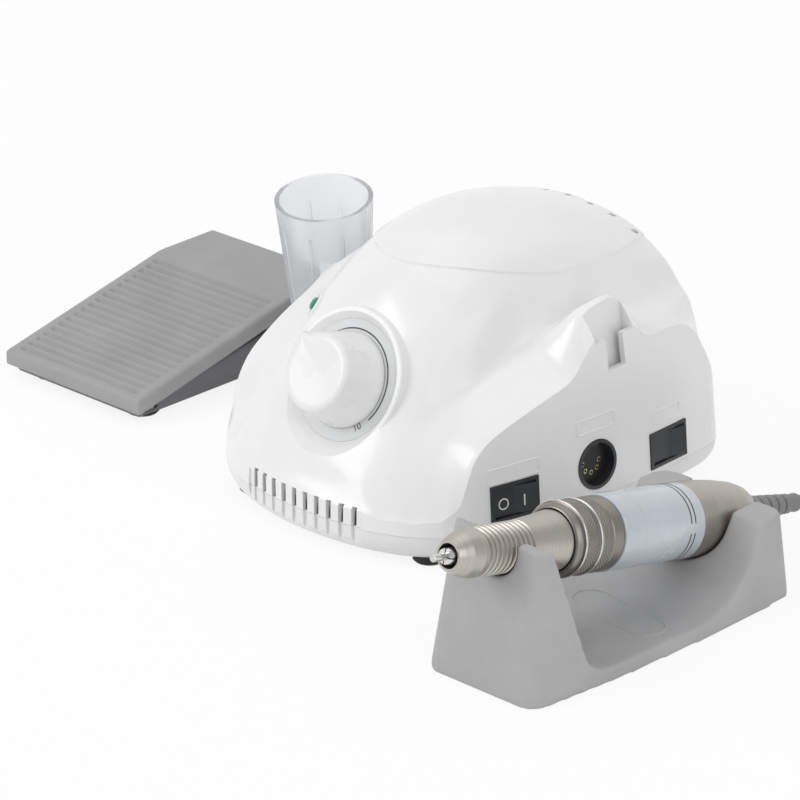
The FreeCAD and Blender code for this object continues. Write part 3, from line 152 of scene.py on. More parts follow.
# Lathe-turned metal: fine rings square to the axis, uneven in width and brightness.
def turnedSteel(name, light, dark, rough=(0.22, 0.38), lineWidth=0.25, along=(0.0, 1.0, 0.0), ringDepth=0.02):
    material, tree = newMaterial(name)
    place = addNode(tree, "ShaderNodeTexCoord").outputs["Object"]
    axis = addNode(tree, "ShaderNodeVectorMath", {"operation": "DOT_PRODUCT"}, {0: place})
    axis.inputs[1].default_value = along
    rings = addNode(tree, "ShaderNodeTexNoise",
                    {"noise_dimensions": "1D", "Scale": 1.0 / (lineWidth * mm), "Detail": 2.0},
                    {"W": axis.outputs["Value"]})
    smear = addNode(tree, "ShaderNodeTexNoise", {"Scale": 160.0, "Detail": 2.0}, {"Vector": place})
    tone = colourRamp(tree, rings.outputs["Fac"], [(0.25, dark), (0.75, light)])
    gloss = addNode(tree, "ShaderNodeMapRange", {"To Min": rough[0], "To Max": rough[1]},
                    {"Value": smear.outputs["Fac"]})
    bump = addNode(tree, "ShaderNodeBump", {"Strength": 0.35, "Distance": ringDepth * mm},
                   {"Height": rings.outputs["Fac"]})
    shader = addNode(tree, "ShaderNodeBsdfPrincipled", {"Metallic": 1.0},
                     {"Base Color": tone.outputs["Color"], "Roughness": gloss.outputs["Result"],
                      "Normal": bump.outputs["Normal"]})
    finishMaterial(tree, shader)
    return material


# Frosted clear polystyrene: slightly milky, a little rough inside.
def clearMoulded(name, tint, rough=0.12, transmission=0.92):
    material, tree = newMaterial(name)
    place = addNode(tree, "ShaderNodeTexCoord").outputs["Object"]
    haze = addNode(tree, "ShaderNodeTexNoise", {"Scale": 90.0, "Detail": 3.0}, {"Vector": place})
    gloss = addNode(tree, "ShaderNodeMapRange", {"To Min": rough * 0.7, "To Max": rough * 1.5},
                    {"Value": haze.outputs["Fac"]})
    shader = addNode(tree, "ShaderNodeBsdfPrincipled", {"Base Color": hexColour(tint), "IOR": 1.2,
                                                       "Transmission Weight": transmission},
                     {"Roughness": gloss.outputs["Result"]})
    finishMaterial(tree, shader)
    return material


# Gloss white ABS of the box: bright and even, a soft moulded shine
whiteAbs = mouldedPlastic("glossWhiteAbs", "#F1F1F1", "#EEEEEE", (0.20, 0.27), 0.5, 0.001, 0.25)
trayAbs = mouldedPlastic("whiteAbsTray", "#EEEEEE", "#EAEAEA", (0.26, 0.34), 0.5, 0.001)
knobAbs = mouldedPlastic("whiteKnobAbs", "#EFEFEF", "#EBEBEB", (0.24, 0.32), 0.5, 0.001, 0.2)
# Printed foil of the dial plate: satin light grey
dialFoil = mouldedPlastic("satinGreyDialPlate", "#DEDFE0", "#D8D9DA", (0.32, 0.42), 0.2, 0.001)
# Mid grey ABS of the rest: spark-eroded mould, so a fine dull grain
restAbs = mouldedPlastic("grainedGreyRestAbs", "#B4B4B5", "#ABABAC", (0.50, 0.62), 0.45, 0.012)
pedalAbs = mouldedPlastic("grainedGreyPedalAbs", "#A7A7A8", "#9E9E9F", (0.46, 0.60), 0.50, 0.014)
pedalDark = mouldedPlastic("darkGreyPedalBaseAbs", "#77777A", "#707073", (0.5, 0.6), 0.55, 0.008)
# Black nylon of the switches: smooth, a little worn to grey
blackNylon = mouldedPlastic("blackSwitchNylon", "#35373A", "#2E3033", (0.26, 0.40), 0.3, 0.002)
socketBlack = mouldedPlastic("blackSocketInsulator", "#242426", "#1C1C1E", (0.4, 0.5), 0.3, 0.002)
footRubber = mouldedPlastic("blackFootRubber", "#202022", "#19191B", (0.6, 0.75), 0.4, 0.006)
reliefRubber = mouldedPlastic("greyReliefRubber", "#8A8A8B", "#828283", (0.5, 0.62), 0.4, 0.004)
cordJacket = mouldedPlastic("greyPvcCordJacket", "#8E8E8F", "#868687", (0.45, 0.55), 0.5, 0.003)
printInk = mouldedPlastic("darkScreenPrintInk", "#4A4B4D", "#434446", (0.45, 0.55), 0.2, 0.001)
whiteInk = mouldedPlastic("whiteSwitchInk", "#E9E9E6", "#E2E2DF", (0.45, 0.55), 0.2, 0.001)
# Lacquered sleeve: pale blue grey with a cloudy, handled shine
sleeveLacquer = mouldedPlastic("paleBlueLacqueredSleeve", "#CBD2D8", "#BCC4CA", (0.18, 0.34), 0.4, 0.001, 0.5)
lampGreen = mouldedPlastic("greenLampLens", "#169070", "#0F7C60", (0.08, 0.14), 0.4, 0.001, 0.6)
boardResist = mouldedPlastic("greenSolderResist", "#1F5E38", "#18502F", (0.3, 0.45), 0.4, 0.002)
canSleeve = mouldedPlastic("blueCapacitorSleeve", "#22304E", "#1B2742", (0.3, 0.4), 0.4, 0.001)
windingWire = mouldedPlastic("enamelledCopperWinding", "#A3562C", "#7E3F1E", (0.25, 0.4), 0.6, 0.02, 0.4)
stampedCore = mouldedPlastic("varnishedCoreSteel", "#5B5856", "#4A4745", (0.4, 0.6), 0.5, 0.01)
handTilt = math.radians(12.7)
handAlong = (0.0, math.cos(handTilt), -math.sin(handTilt))
# Turned stainless of the handpiece: warm grey, fine rings from the tool, dull from handling
noseSteel = turnedSteel("turnedStainlessNose", "#C9C5BD", "#ADA8A0", (0.30, 0.44), 0.30, handAlong)
collarSteel = turnedSteel("knurledStainlessCollar", "#A29D96", "#7D7871", (0.30, 0.42), 0.28, handAlong)
tailSteel = turnedSteel("brushedStainlessTail", "#C2BDB6", "#A8A39C", (0.32, 0.46), 0.20, handAlong)
brightSteel = turnedSteel("polishedBrightSteel", "#E2E2E1", "#C9C9C8", (0.12, 0.22), 0.3, handAlong)
platedSteel = turnedSteel("zincPlatedSteel", "#BFC1C2", "#9C9EA0", (0.25, 0.4), 0.4, (0.0, 0.0, 1.0))
brassPlate = turnedSteel("paleGoldPlatedBrass", "#CBBF9F", "#A3977A", (0.2, 0.3), 0.3, (1.0, 0.0, 0.0))
sinkAlloy = turnedSteel("bareAluminium", "#B9BBBD", "#9EA0A2", (0.3, 0.45), 0.4, (0.0, 0.0, 1.0))
cupPlastic = clearMoulded("frostedClearPolystyrene", "#FAFBFD", 0.20, 0.78)
print("materials made")

# The handpiece's lead: the route's points in millimetres from the middle of the control box
lead = {
    "radius": 2.2, "start": (114.0, 45.61, 12.01), "tilt": 12.7, "firstRun": 15.0, "coil": (146.0, 109.98),
    "inner": 13.2, "pitch": 4.95, "turns": 4, "climbStep": 1.6, "pointsPerTurn": 16, "length": 1.18,
    "touchDown": 25.6, "lieDown": 12.4,
}


# Straight out of the relief, down to the table, then a spiral in, up a layer and out.
def leadRoute():
    r = lead["radius"]
    x0, y0, z0 = lead["start"]
    tilt = math.radians(lead["tilt"])
    cx, cy = lead["coil"]
    outer = lead["inner"] + lead["pitch"] * lead["turns"]
    startX = cx - outer
    run = lead["firstRun"]
    points = [(x0, y0, z0), (x0, y0 + run * math.cos(tilt), z0 - run * math.sin(tilt)),
              (startX + 0.6, cy - 2 * r - lead["touchDown"], r + 1.2),
              (startX, cy - 2 * r - lead["lieDown"], r), (startX, cy - 2 * r, r)]
    halves = 2 * lead["turns"]
    radii = [outer - lead["pitch"] / 2 * k for k in range(halves)]
    radii[-1] -= lead["climbStep"]
    stops = np.array([(q, r) for q in radii] + [(q, r + lead["pitch"]) for q in reversed(radii)])
    count = (len(stops) - 1) * lead["pointsPerTurn"] // 2
    t = np.linspace(0, len(stops) - 1, count + 1)
    radius = np.interp(t, np.arange(len(stops)), stops[:, 0])
    height = np.interp(t, np.arange(len(stops)), stops[:, 1])
    angle = math.pi - math.pi * t
    swell = 1.0 / math.cos(math.pi / lead["pointsPerTurn"])
    spiral = np.stack([cx + radius * swell * np.cos(angle), cy + radius * swell * np.sin(angle), height], 1)
    spiral[0] = (startX, cy, r)
    spiral[-1] = (cx + outer, cy, r + lead["pitch"])
    points += [tuple(p) for p in spiral]
    points.append((cx + outer, cy - 2 * r, r + lead["pitch"]))
    return points


def makeLead():
    route = [atBox(*p) for p in leadRoute()]
    data = bpy.data.curves.new("handpieceLead", "CURVE")
    data.dimensions = "3D"
    spline = data.splines.new("NURBS")
    spline.points.add(len(route) - 1)
    for point, place in zip(spline.points, route):
        point.co = (*place, 1.0)
    spline.order_u = 3
    spline.use_endpoint_u = True
    spline.resolution_u = 6
    data.bevel_depth = lead["radius"] * mm
    data.bevel_resolution = 6
    data.use_fill_caps = True
    data.materials.append(cordJacket)
    cord = bpy.data.objects.new("handpieceLead", data)
    bpy.context.scene.collection.objects.link(cord)
    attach(cord, "control_box")
    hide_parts("handpiece_cord", "cord_coil")


makeLead()
print("lead laid")

# Finish of each node of the frame
finishes = {
    "upper_housing": whiteAbs, "base_tray": trayAbs, "housing_screws": platedSteel, "dial_plate": dialFoil,
    "speed_knob": knobAbs, "potentiometer_shaft": platedSteel, "potentiometer": sinkAlloy,
    "potentiometer_nut": platedSteel, "led_lens": lampGreen, "power_switch_frame": blackNylon,
    "power_rocker": blackNylon, "direction_switch_frame": blackNylon, "direction_rocker": blackNylon,
    "motor_socket": blackNylon, "socket_insert": socketBlack, "socket_contacts": brassPlate,
    "pedal_jack": blackNylon, "fuse_holder": blackNylon, "mains_gland": footRubber,
    "transformer_core": stampedCore, "transformer_winding": windingWire, "circuit_board": boardResist,
    "board_screws": platedSteel, "capacitor": canSleeve, "heat_sink": sinkAlloy, "handpiece_nose": noseSteel,
    "lock_collar": collarSteel, "handpiece_sleeve": sleeveLacquer, "nose_link": brightSteel,
    "handpiece_tail": tailSteel, "strain_relief": reliefRubber, "spindle": brightSteel,
    "collet": brightSteel, "bit": brightSteel, "front_bearing": brightSteel, "rear_bearing": brightSteel,
    "bearing_plate": sinkAlloy, "motor_rotor": stampedCore, "motor_stator": stampedCore,
    "handpiece_rest": restAbs, "pedal_tread": pedalAbs, "pedal_base": pedalDark,
    "pedal_hinge_pin": platedSteel, "pedal_spring": platedSteel, "pedal_switch": blackNylon,
    "pedal_plunger": brassPlate, "pedal_gland": footRubber, "holder_cup": cupPlastic,
    "handpiece_cord": cordJacket, "cord_coil": cordJacket, "din_plug": reliefRubber,
    "din_plug_pins": brassPlate,
}
for name, piece in nodes.items():
    finish = finishes.get(name, footRubber)
    piece.data.materials.clear()
    piece.data.materials.append(finish)
print("frame dressed")


# A mesh piece from a grid of points in metres; rows and columns may close on themselves, ends may be capped
def gridPiece(name, grid, finish, body, wrapRows=False, wrapColumns=False, capEnds=False, replaced=()):
    rows, columns = grid.shape[:2]
    index = np.arange(rows * columns).reshape(rows, columns)
    r = index if wrapRows else index[:-1]
    down = np.roll(index, -1, 0) if wrapRows else index[1:]
    faces = np.stack([r, down, np.roll(down, -1, 1), np.roll(r, -1, 1)], -1)
    if not wrapColumns:
        faces = faces[:, :-1]
    faces = faces.reshape(-1, 4).tolist()
    if capEnds:
        faces += [index[0].tolist(), index[-1][::-1].tolist()]
    mesh = bpy.data.meshes.new(name)
    mesh.from_pydata(grid.reshape(-1, 3).tolist(), [], faces)
    return meshPiece(name, mesh, finish, body, replaced)


# Turns a closed mesh right side out, dresses it and hangs it on its body
def meshPiece(name, mesh, finish, body, replaced=(), smoothAngle=35.0):
    soft = bmesh.new()
    soft.from_mesh(mesh)
    bmesh.ops.recalc_face_normals(soft, faces=soft.faces)
    if soft.calc_volume(signed=True) < 0:
        bmesh.ops.reverse_faces(soft, faces=soft.faces)
    soft.to_mesh(mesh)
    soft.free()
    mesh.materials.clear()
    mesh.materials.append(finish)
    mesh.shade_smooth()
    mesh.set_sharp_from_angle(angle=math.radians(smoothAngle))
    piece = bpy.data.objects.new(name, mesh)
    bpy.context.scene.collection.objects.link(piece)
    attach(piece, body)
    if replaced:
        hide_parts(*replaced)
    return piece


# Millimetres from the middle of the control box, as an array, to metres in the frame
def inFrame(points):
    return (np.asarray(points, float) + np.array([boxX / mm, boxY / mm, 0.0])) * mm


# The right wall: a long arc in plan that leans in with height
rightWall = {"arcX": -212.266, "arcY": 29.65, "arcRadius": 278.0, "seam": 12.0, "draft": 5.0}


# Place on the right wall at y and z, lifted by h along the wall's normal
def onWall(y, z, h):
    lean = math.tan(math.radians(rightWall["draft"]))
    across = np.sqrt(rightWall["arcRadius"] ** 2 - (y - rightWall["arcY"]) ** 2)
    x = rightWall["arcX"] + across - (z - rightWall["seam"]) * lean
    normal = np.stack([across, y - rightWall["arcY"], across * lean], -1)
    normal /= np.linalg.norm(normal, axis=-1, keepdims=True)
    return np.stack([x, y + 0 * z, z + 0 * y], -1) + normal * np.asarray(h)[..., None]


# Stadium or rounded rectangle in a plane, as evenly spaced points and their outward directions
def roundedOutline(halfLength, halfHeight, radius, count=160):
    turn = np.linspace(0, 2 * math.pi, 97)[:-1]
    p = np.stack([np.sign(np.cos(turn)) * (halfLength - radius) + radius * np.cos(turn),
                  np.sign(np.sin(turn)) * (halfHeight - radius) + radius * np.sin(turn)], -1)
    p = np.concatenate([p, p[:1]])
    run = np.concatenate([[0], np.cumsum(np.linalg.norm(np.diff(p, axis=0), axis=1))])
    even = np.linspace(0, run[-1], count + 1)[:-1]
    p = np.stack([np.interp(even, run, p[:, 0]), np.interp(even, run, p[:, 1])], -1)
    along = np.roll(p, -1, 0) - np.roll(p, 1, 0)
    along /= np.linalg.norm(along, axis=1, keepdims=True)
    return p, np.stack([along[:, 1], -along[:, 0]], -1)


# Raised bead of a label frame: half an ellipse carried round a rounded rectangle on the wall
labelFrames = {
    "labelFramePower": {"y": -29.3, "z": 30.0, "halfLength": 9.8, "halfHeight": 2.5},
    "labelFrameSocket": {"y": 5.3, "z": 37.5, "halfLength": 8.3, "halfHeight": 2.4},
    "labelFrameDirection": {"y": 39.5, "z": 31.1, "halfLength": 6.9, "halfHeight": 2.1},
}
labelBead = {"halfWidth": 0.32, "height": 0.30, "sink": 0.15, "radius": 0.9}


def makeLabelFrames():
    turn = np.linspace(0, 2 * math.pi, 13)[:-1]
    offset = labelBead["halfWidth"] * np.cos(turn)
    height = -labelBead["sink"] / 2 + (labelBead["height"] + labelBead["sink"] / 2) * np.sin(turn)
    for name, at in labelFrames.items():
        p, out = roundedOutline(at["halfLength"], at["halfHeight"], labelBead["radius"])
        y = at["y"] + p[:, None, 0] + out[:, None, 0] * offset
        z = at["z"] + p[:, None, 1] + out[:, None, 1] * offset
        grid = inFrame(onWall(y, z, np.broadcast_to(height, y.shape)))
        gridPiece(name, grid, whiteAbs, "control_box", wrapRows=True, wrapColumns=True)


makeLabelFrames()

# Axes of the dial: across, up its slope and out of it, from its middle
dial = {"centre": (0.0, -47.0, 50.8), "tilt": 26.5, "scaleRadius": 17.2, "scaleWidth": 0.5, "scaleFrom": 130.0,
        "scaleTo": -35.0, "inkThick": 0.05}
dialTilt = math.radians(dial["tilt"])
dialAcross = np.array([1.0, 0.0, 0.0])
dialUp = np.array([0.0, math.sin(dialTilt), math.cos(dialTilt)])
dialOut = np.array([0.0, -math.cos(dialTilt), math.sin(dialTilt)])


def onDial(u, v, h):
    u, v, h = np.broadcast_arrays(u, v, h)
    place = np.array(dial["centre"]) + u[..., None] * dialAcross + v[..., None] * dialUp
    return inFrame(place + h[..., None] * dialOut)


# Printed scale: a thin arc that starts as a point and reaches its full width after a sixth of its way
def makeDialScale():
    angle = np.radians(np.linspace(dial["scaleFrom"], dial["scaleTo"], 120))
    width = dial["scaleWidth"] * np.clip(np.linspace(0.2, 6.0, 120), 0.2, 1.0) / 2
    side = np.array([-1, 1, 1, -1])
    height = np.array([-0.02, -0.02, dial["inkThick"], dial["inkThick"]])
    radius = dial["scaleRadius"] + width[:, None] * side
    grid = onDial(radius * np.cos(angle)[:, None], radius * np.sin(angle)[:, None], height[None])
    gridPiece("dialScaleArc", grid, printInk, "control_box", wrapColumns=True, capEnds=True)


# Plain numbers at the two ends of the scale, turned to stand along it
dialNumbers = {"dialNumberLow": ("0", 16.9, -125.0), "dialNumberHigh": ("10", 16.9, -52.0)}


def makeDialNumbers():
    for name, (text, radius, degrees) in dialNumbers.items():
        words = bpy.data.curves.new(name, "FONT")
        words.body, words.size, words.extrude = text, 3.4, dial["inkThick"]
        words.align_x, words.align_y = "CENTER", "CENTER"
        loose = bpy.data.objects.new(name + "Text", words)
        bpy.context.scene.collection.objects.link(loose)
        bpy.context.view_layer.update()
        mesh = bpy.data.meshes.new_from_object(loose)
        bpy.data.objects.remove(loose)
        flat = np.empty(len(mesh.vertices) * 3)
        mesh.vertices.foreach_get("co", flat)
        flat = flat.reshape(-1, 3)
        turn = math.radians(degrees + 90.0)
        u = radius * math.cos(math.radians(degrees)) + flat[:, 0] * math.cos(turn) - flat[:, 1] * math.sin(turn)
        v = radius * math.sin(math.radians(degrees)) + flat[:, 0] * math.sin(turn) + flat[:, 1] * math.cos(turn)
        mesh.vertices.foreach_set("co", onDial(u, v, flat[:, 2] + 0.01).ravel())
        mesh.name = name
        meshPiece(name, mesh, printInk, "control_box")


makeDialScale()
makeDialNumbers()

# Speed knob: a cone of shallow flats with rounded edges, a dished face and a square-cornered pointer
knob = {"base": 0.4, "height": 16.0, "baseRadius": 16.0, "faceRadius": 12.8, "edge": 1.6, "skirt": 1.2,
        "flats": 18, "flatDepth": 0.16, "dish": 0.25, "tipBase": 18.6, "tipFace": 15.6, "tipAngle": 137.0}


# Radius follows the side line, cut by cosine flats, and is pushed out to the corner where two lines at
# 45 degrees to the pointer meet; the face sinks as a square law towards its middle
def makeKnob():
    turn = np.linspace(0, 2 * math.pi, 361)[:-1]
    side = np.linspace(0, 1, 26)
    round_ = np.linspace(0, math.pi / 2, 9)[1:]
    face = np.linspace(1, 0.02, 14)[1:]
    top = knob["base"] + knob["height"]
    rise = np.concatenate([knob["base"] + side * (knob["height"] - knob["edge"]),
                           top - knob["edge"] + knob["edge"] * np.sin(round_), np.full(face.shape, top)])
    share = np.clip((rise - knob["base"] - knob["skirt"]) / (knob["height"] - knob["skirt"]), 0, 1)
    inset = np.concatenate([np.zeros(len(side)), knob["edge"] * (1 - np.cos(round_)),
                            np.full(face.shape, knob["edge"])])
    shrink = np.concatenate([np.ones(len(side) + len(round_)), face])
    body = knob["baseRadius"] + (knob["faceRadius"] - knob["baseRadius"]) * share
    tip = knob["tipBase"] + (knob["tipFace"] - knob["tipBase"]) * share
    flats = knob["flatDepth"] * (np.abs(np.cos(turn * knob["flats"] / 2)) - 0.3)
    away = np.abs((turn - math.radians(knob["tipAngle"]) + math.pi) % (2 * math.pi) - math.pi)
    corner = np.where(away < math.pi / 4, 1 / (np.cos(away) + np.sin(away)), 0.0)
    circle = body[:, None] - flats[None] * np.clip(share * 6, 0, 1)[:, None]
    reach = np.maximum(circle, tip[:, None] * corner[None])
    radius = (reach - inset[:, None]) * shrink[:, None]
    lower = knob["dish"] * (1 - (shrink ** 2))
    height = np.broadcast_to((rise - lower)[:, None], radius.shape)
    grid = onDial(radius * np.cos(turn), radius * np.sin(turn), height)
    gridPiece("speedKnobCap", grid, knobAbs, "speed_knob", wrapColumns=True, capEnds=True,
              replaced=("speed_knob",))


makeKnob()
print("dial and knob made")

# Symbols on the power rocker: a ring and a bar, printed on its two slanting halves at rest
rockerMarks = {"y": -29.5, "z": 20.4, "half": 7.95, "edge": 0.6, "middle": -0.3, "pivot": -1.2, "tilt": 8.0,
               "ink": 0.05, "ringAt": -4.1, "ringRadius": 1.75, "barAt": 3.6, "barHalf": 1.9, "stroke": 0.42,
               "drop": -0.6}


# Height of the rocker's face at a place along it, then its turn about the pivot and its place on the wall
def onRocker(along, up, h):
    slope = (rockerMarks["edge"] - rockerMarks["middle"]) / rockerMarks["half"]
    face = rockerMarks["middle"] + slope * np.abs(along)
    out = face + h - rockerMarks["pivot"]
    turn = -math.radians(rockerMarks["tilt"])
    x = along * math.cos(turn) + out * math.sin(turn)
    z = -along * math.sin(turn) + out * math.cos(turn) + rockerMarks["pivot"]
    middle = onWall(np.array(rockerMarks["y"]), np.array(rockerMarks["z"]), np.array(0.0))
    normal = onWall(np.array(rockerMarks["y"]), np.array(rockerMarks["z"]), np.array(1.0)) - middle
    upward = np.array([0, 0, 1.0]) - normal * normal[2]
    upward /= np.linalg.norm(upward)
    across = np.cross(upward, normal)
    return inFrame(middle + x[..., None] * across + up[..., None] * upward + z[..., None] * normal)


def makeRockerMarks():
    ink = rockerMarks["ink"]
    turn = np.linspace(0, 2 * math.pi, 49)[:-1][:, None]
    radius = rockerMarks["ringRadius"] + rockerMarks["stroke"] / 2 * np.array([-1, 1, 1, -1])
    height = np.array([-0.05, -0.05, ink, ink])
    along = rockerMarks["ringAt"] + radius * np.cos(turn)
    up = rockerMarks["drop"] + radius * np.sin(turn)
    grid = onRocker(along, up, np.broadcast_to(height, up.shape))
    gridPiece("rockerRingMark", grid, whiteInk, "power_rocker", wrapRows=True, wrapColumns=True)
    stroke = rockerMarks["stroke"] / 2
    up = rockerMarks["drop"] + np.array([-1, 1])[:, None] * rockerMarks["barHalf"] + np.zeros(4)
    along = rockerMarks["barAt"] + np.array([-1, 1, 1, -1]) * stroke + np.zeros((2, 1))
    grid = onRocker(along, up, np.broadcast_to(height, up.shape))
    gridPiece("rockerBarMark", grid, whiteInk, "power_rocker", wrapColumns=True, capEnds=True)


makeRockerMarks()

# Handpiece pieces are turned about its axis; s runs from the nose ring towards the cord
handpiece = {"nose": (114.0, -121.2, 49.6), "sleeveRadius": 12.3}
handAxis = np.array(handAlong)
handUp = np.array([0.0, math.sin(handTilt), math.cos(handTilt)])


def onHand(radius, turn, s):
    radius, turn, s = np.broadcast_arrays(radius, turn, s)
    place = np.array(handpiece["nose"]) + s[..., None] * handAxis
    place = place + (radius * np.cos(turn))[..., None] * dialAcross
    return inFrame(place + (radius * np.sin(turn))[..., None] * handUp)


# Lock collar: a rounded shoulder, two polished ridges and two bands of crossed knurling between plain grooves
collar = {"from": 47.0, "to": 69.0, "bore": 9.95, "radius": 12.0, "knurlDepth": 0.28, "knurlPitch": 1.25,
          "stations": (0.0, 0.4, 1.6, 2.3, 2.7, 3.1, 3.4, 4.0, 9.4, 9.9, 10.4, 10.9, 11.4, 16.4, 17.0, 21.2, 22.0),
          "radii": (-1.95, -1.3, -0.5, -0.5, -0.9, 0.0, 0.0, -0.45, -0.45, -0.7, 0.0, 0.0, -0.4, -0.4,
                    -0.1, -0.1, -0.6), "bands": ((4.0, 9.2), (11.6, 16.3)), "fade": 0.4}


# The side line runs through the stations; inside the bands two crossed helices of ridges, the larger of the
# two at each place, stand on it
def makeCollar():
    s = np.linspace(0, collar["to"] - collar["from"], 177)
    turn = np.linspace(0, 2 * math.pi, 481)[:-1]
    line = collar["radius"] + np.interp(s, collar["stations"], collar["radii"])
    count = round(2 * math.pi * collar["radius"] / collar["knurlPitch"])
    pitch = 2 * math.pi * collar["radius"] / count
    phase = 2 * math.pi * s[:, None] / pitch
    left = np.abs(np.sin((count * turn[None] + phase) / 2))
    right = np.abs(np.sin((count * turn[None] - phase) / 2))
    diamond = np.minimum(left, right)
    band = sum(np.clip(np.minimum(s - low, high - s) / collar["fade"], 0, 1) for low, high in collar["bands"])
    radius = line[:, None] + collar["knurlDepth"] * band[:, None] * diamond
    bore = np.full((2, len(turn)), collar["bore"])
    radius = np.concatenate([bore[:1], radius, bore[:1]])
    s = collar["from"] + np.concatenate([[0], s, [s[-1]]])
    grid = onHand(radius, turn[None], s[:, None])
    gridPiece("knurledCollar", grid, collarSteel, "lock_collar", wrapRows=True, wrapColumns=True,
              replaced=("lock_collar",))


makeCollar()

# Two polished rings turned on the collar's ridges, each a half ellipse carried round
collarRings = {"at": (50.25, 57.65), "halfWidth": 0.42, "radius": 11.9, "height": 0.3}


def makeCollarRings():
    turn = np.linspace(0, 2 * math.pi, 241)[:-1][:, None]
    arc = np.linspace(0, 2 * math.pi, 17)[:-1]
    for number, at in enumerate(collarRings["at"], 1):
        along = at + collarRings["halfWidth"] * np.cos(arc)
        radius = collarRings["radius"] + collarRings["height"] * np.sin(arc)
        grid = onHand(radius[None], turn, along[None])
        gridPiece("collarRing%d" % number, grid, brightSteel, "lock_collar", wrapRows=True,
                  wrapColumns=True)


makeCollarRings()

# Black index lines round the sleeve: two rings, open for 15 degrees on the side towards the user
indexLines = {"at": (101.2, 103.2), "halfWidth": 0.28, "gapMiddle": 8.0, "gap": 15.0, "proud": 0.03}


def makeIndexLines():
    half = indexLines["gap"] / 2
    first, last = indexLines["gapMiddle"] + half, indexLines["gapMiddle"] + 360 - half
    turn = np.radians(np.linspace(first, last, 150))[:, None]
    wide = indexLines["halfWidth"] * np.array([-1, 1, 1, -1])
    lift = np.array([-0.1, -0.1, indexLines["proud"], indexLines["proud"]])
    for number, at in enumerate(indexLines["at"], 1):
        grid = onHand((handpiece["sleeveRadius"] + lift)[None], turn, (at + wide)[None])
        gridPiece("sleeveIndexLine%d" % number, grid, printInk, "handpiece", wrapColumns=True,
                  capEnds=True)


makeIndexLines()
print("handpiece detailed")


# Moulded edges: a merged copy of the CAD mesh is remeshed evenly and relaxed, which rounds every edge a little
softened = {
    "restShell": {"node": "handpiece_rest", "body": "control_box", "voxel": 0.7, "passes": 18,
                  "finish": restAbs, "slot": "rest_grey"},
    "treadShell": {"node": "pedal_tread", "body": "pedal_tread", "voxel": 0.56, "passes": 9,
                   "finish": pedalAbs, "slot": "pedal_grey"},
    "pedalPan": {"node": "pedal_base", "body": "control_box", "voxel": 0.9, "passes": 3,
                 "finish": pedalDark, "slot": "pedal_grey"},
}


def makeSoftened():
    for name, plan in softened.items():
        mesh = nodes[plan["node"]].data.copy()
        mesh.name = name
        merged = bmesh.new()
        merged.from_mesh(mesh)
        bmesh.ops.remove_doubles(merged, verts=merged.verts, dist=1e-6)
        merged.to_mesh(mesh)
        merged.free()
        loose = bpy.data.objects.new(name + "Loose", mesh)
        bpy.context.scene.collection.objects.link(loose)
        even = loose.modifiers.new("evenMesh", "REMESH")
        even.mode, even.voxel_size = "VOXEL", plan["voxel"] * mm
        relax = loose.modifiers.new("relax", "SMOOTH")
        relax.factor, relax.iterations = 0.5, plan["passes"]
        bpy.context.view_layer.update()
        settled = bpy.data.meshes.new_from_object(loose.evaluated_get(bpy.context.evaluated_depsgraph_get()))
        bpy.data.objects.remove(loose)
        settled.name = name
        meshPiece(name, settled, plan["finish"], plan["body"], (plan["node"],), 60.0)
        print(name, "has", len(settled.polygons), "faces")


makeSoftened()

# Tread ridges: the smoothed top is pressed in along a raised cosine between the ridges, inside the plain border
treadRidges = {"toe": (-42.0, 10.5), "break": (34.0, 28.0), "middleX": -141.0, "halfWidth": 30.7, "border": 7.0,
               "first": 4.4, "count": 19, "depth": 1.05}


def pressTreadRidges():
    mesh = bpy.data.objects["treadShell"].data
    flat = np.empty(len(mesh.vertices) * 3, np.float32)
    mesh.vertices.foreach_get("co", flat)
    place = flat.reshape(-1, 3) / mm - np.array([boxX / mm, boxY / mm, 0.0])
    normal = np.empty(len(mesh.vertices) * 3, np.float32)
    mesh.vertex_normals.foreach_get("vector", normal)
    run = np.array(treadRidges["break"]) - np.array(treadRidges["toe"])
    length = np.hypot(*run)
    run /= length
    y, z = place[:, 1] - treadRidges["toe"][0], place[:, 2] - treadRidges["toe"][1]
    s, h = y * run[0] + z * run[1], z * run[0] - y * run[1]
    pitch = (length - treadRidges["border"]) / treadRidges["count"]
    step = (s - treadRidges["first"]) / pitch
    inside = np.clip((treadRidges["halfWidth"] - np.abs(place[:, 0] - treadRidges["middleX"])) / 0.9, 0, 1)
    facesUp = normal.reshape(-1, 3)[:, 2] > 0.2
    inside *= (step > -0.5) & (step < treadRidges["count"] - 0.5) & (h > -1.4) & facesUp
    press = treadRidges["depth"] * inside * (0.5 + 0.5 * np.cos(2 * math.pi * step))
    flat.reshape(-1, 3)[:, 1] += press * run[1] * mm
    flat.reshape(-1, 3)[:, 2] -= press * run[0] * mm
    mesh.vertices.foreach_set("co", flat)
    mesh.update()


pressTreadRidges()

# Raised oval in the floor of the rest, left bare inside
restOval = {"middle": (116.5, -45.2), "floor": 5.0, "halfLength": 19.0, "halfHeight": 6.6, "turn": -9.0,
            "halfWidth": 0.4, "height": 0.3}


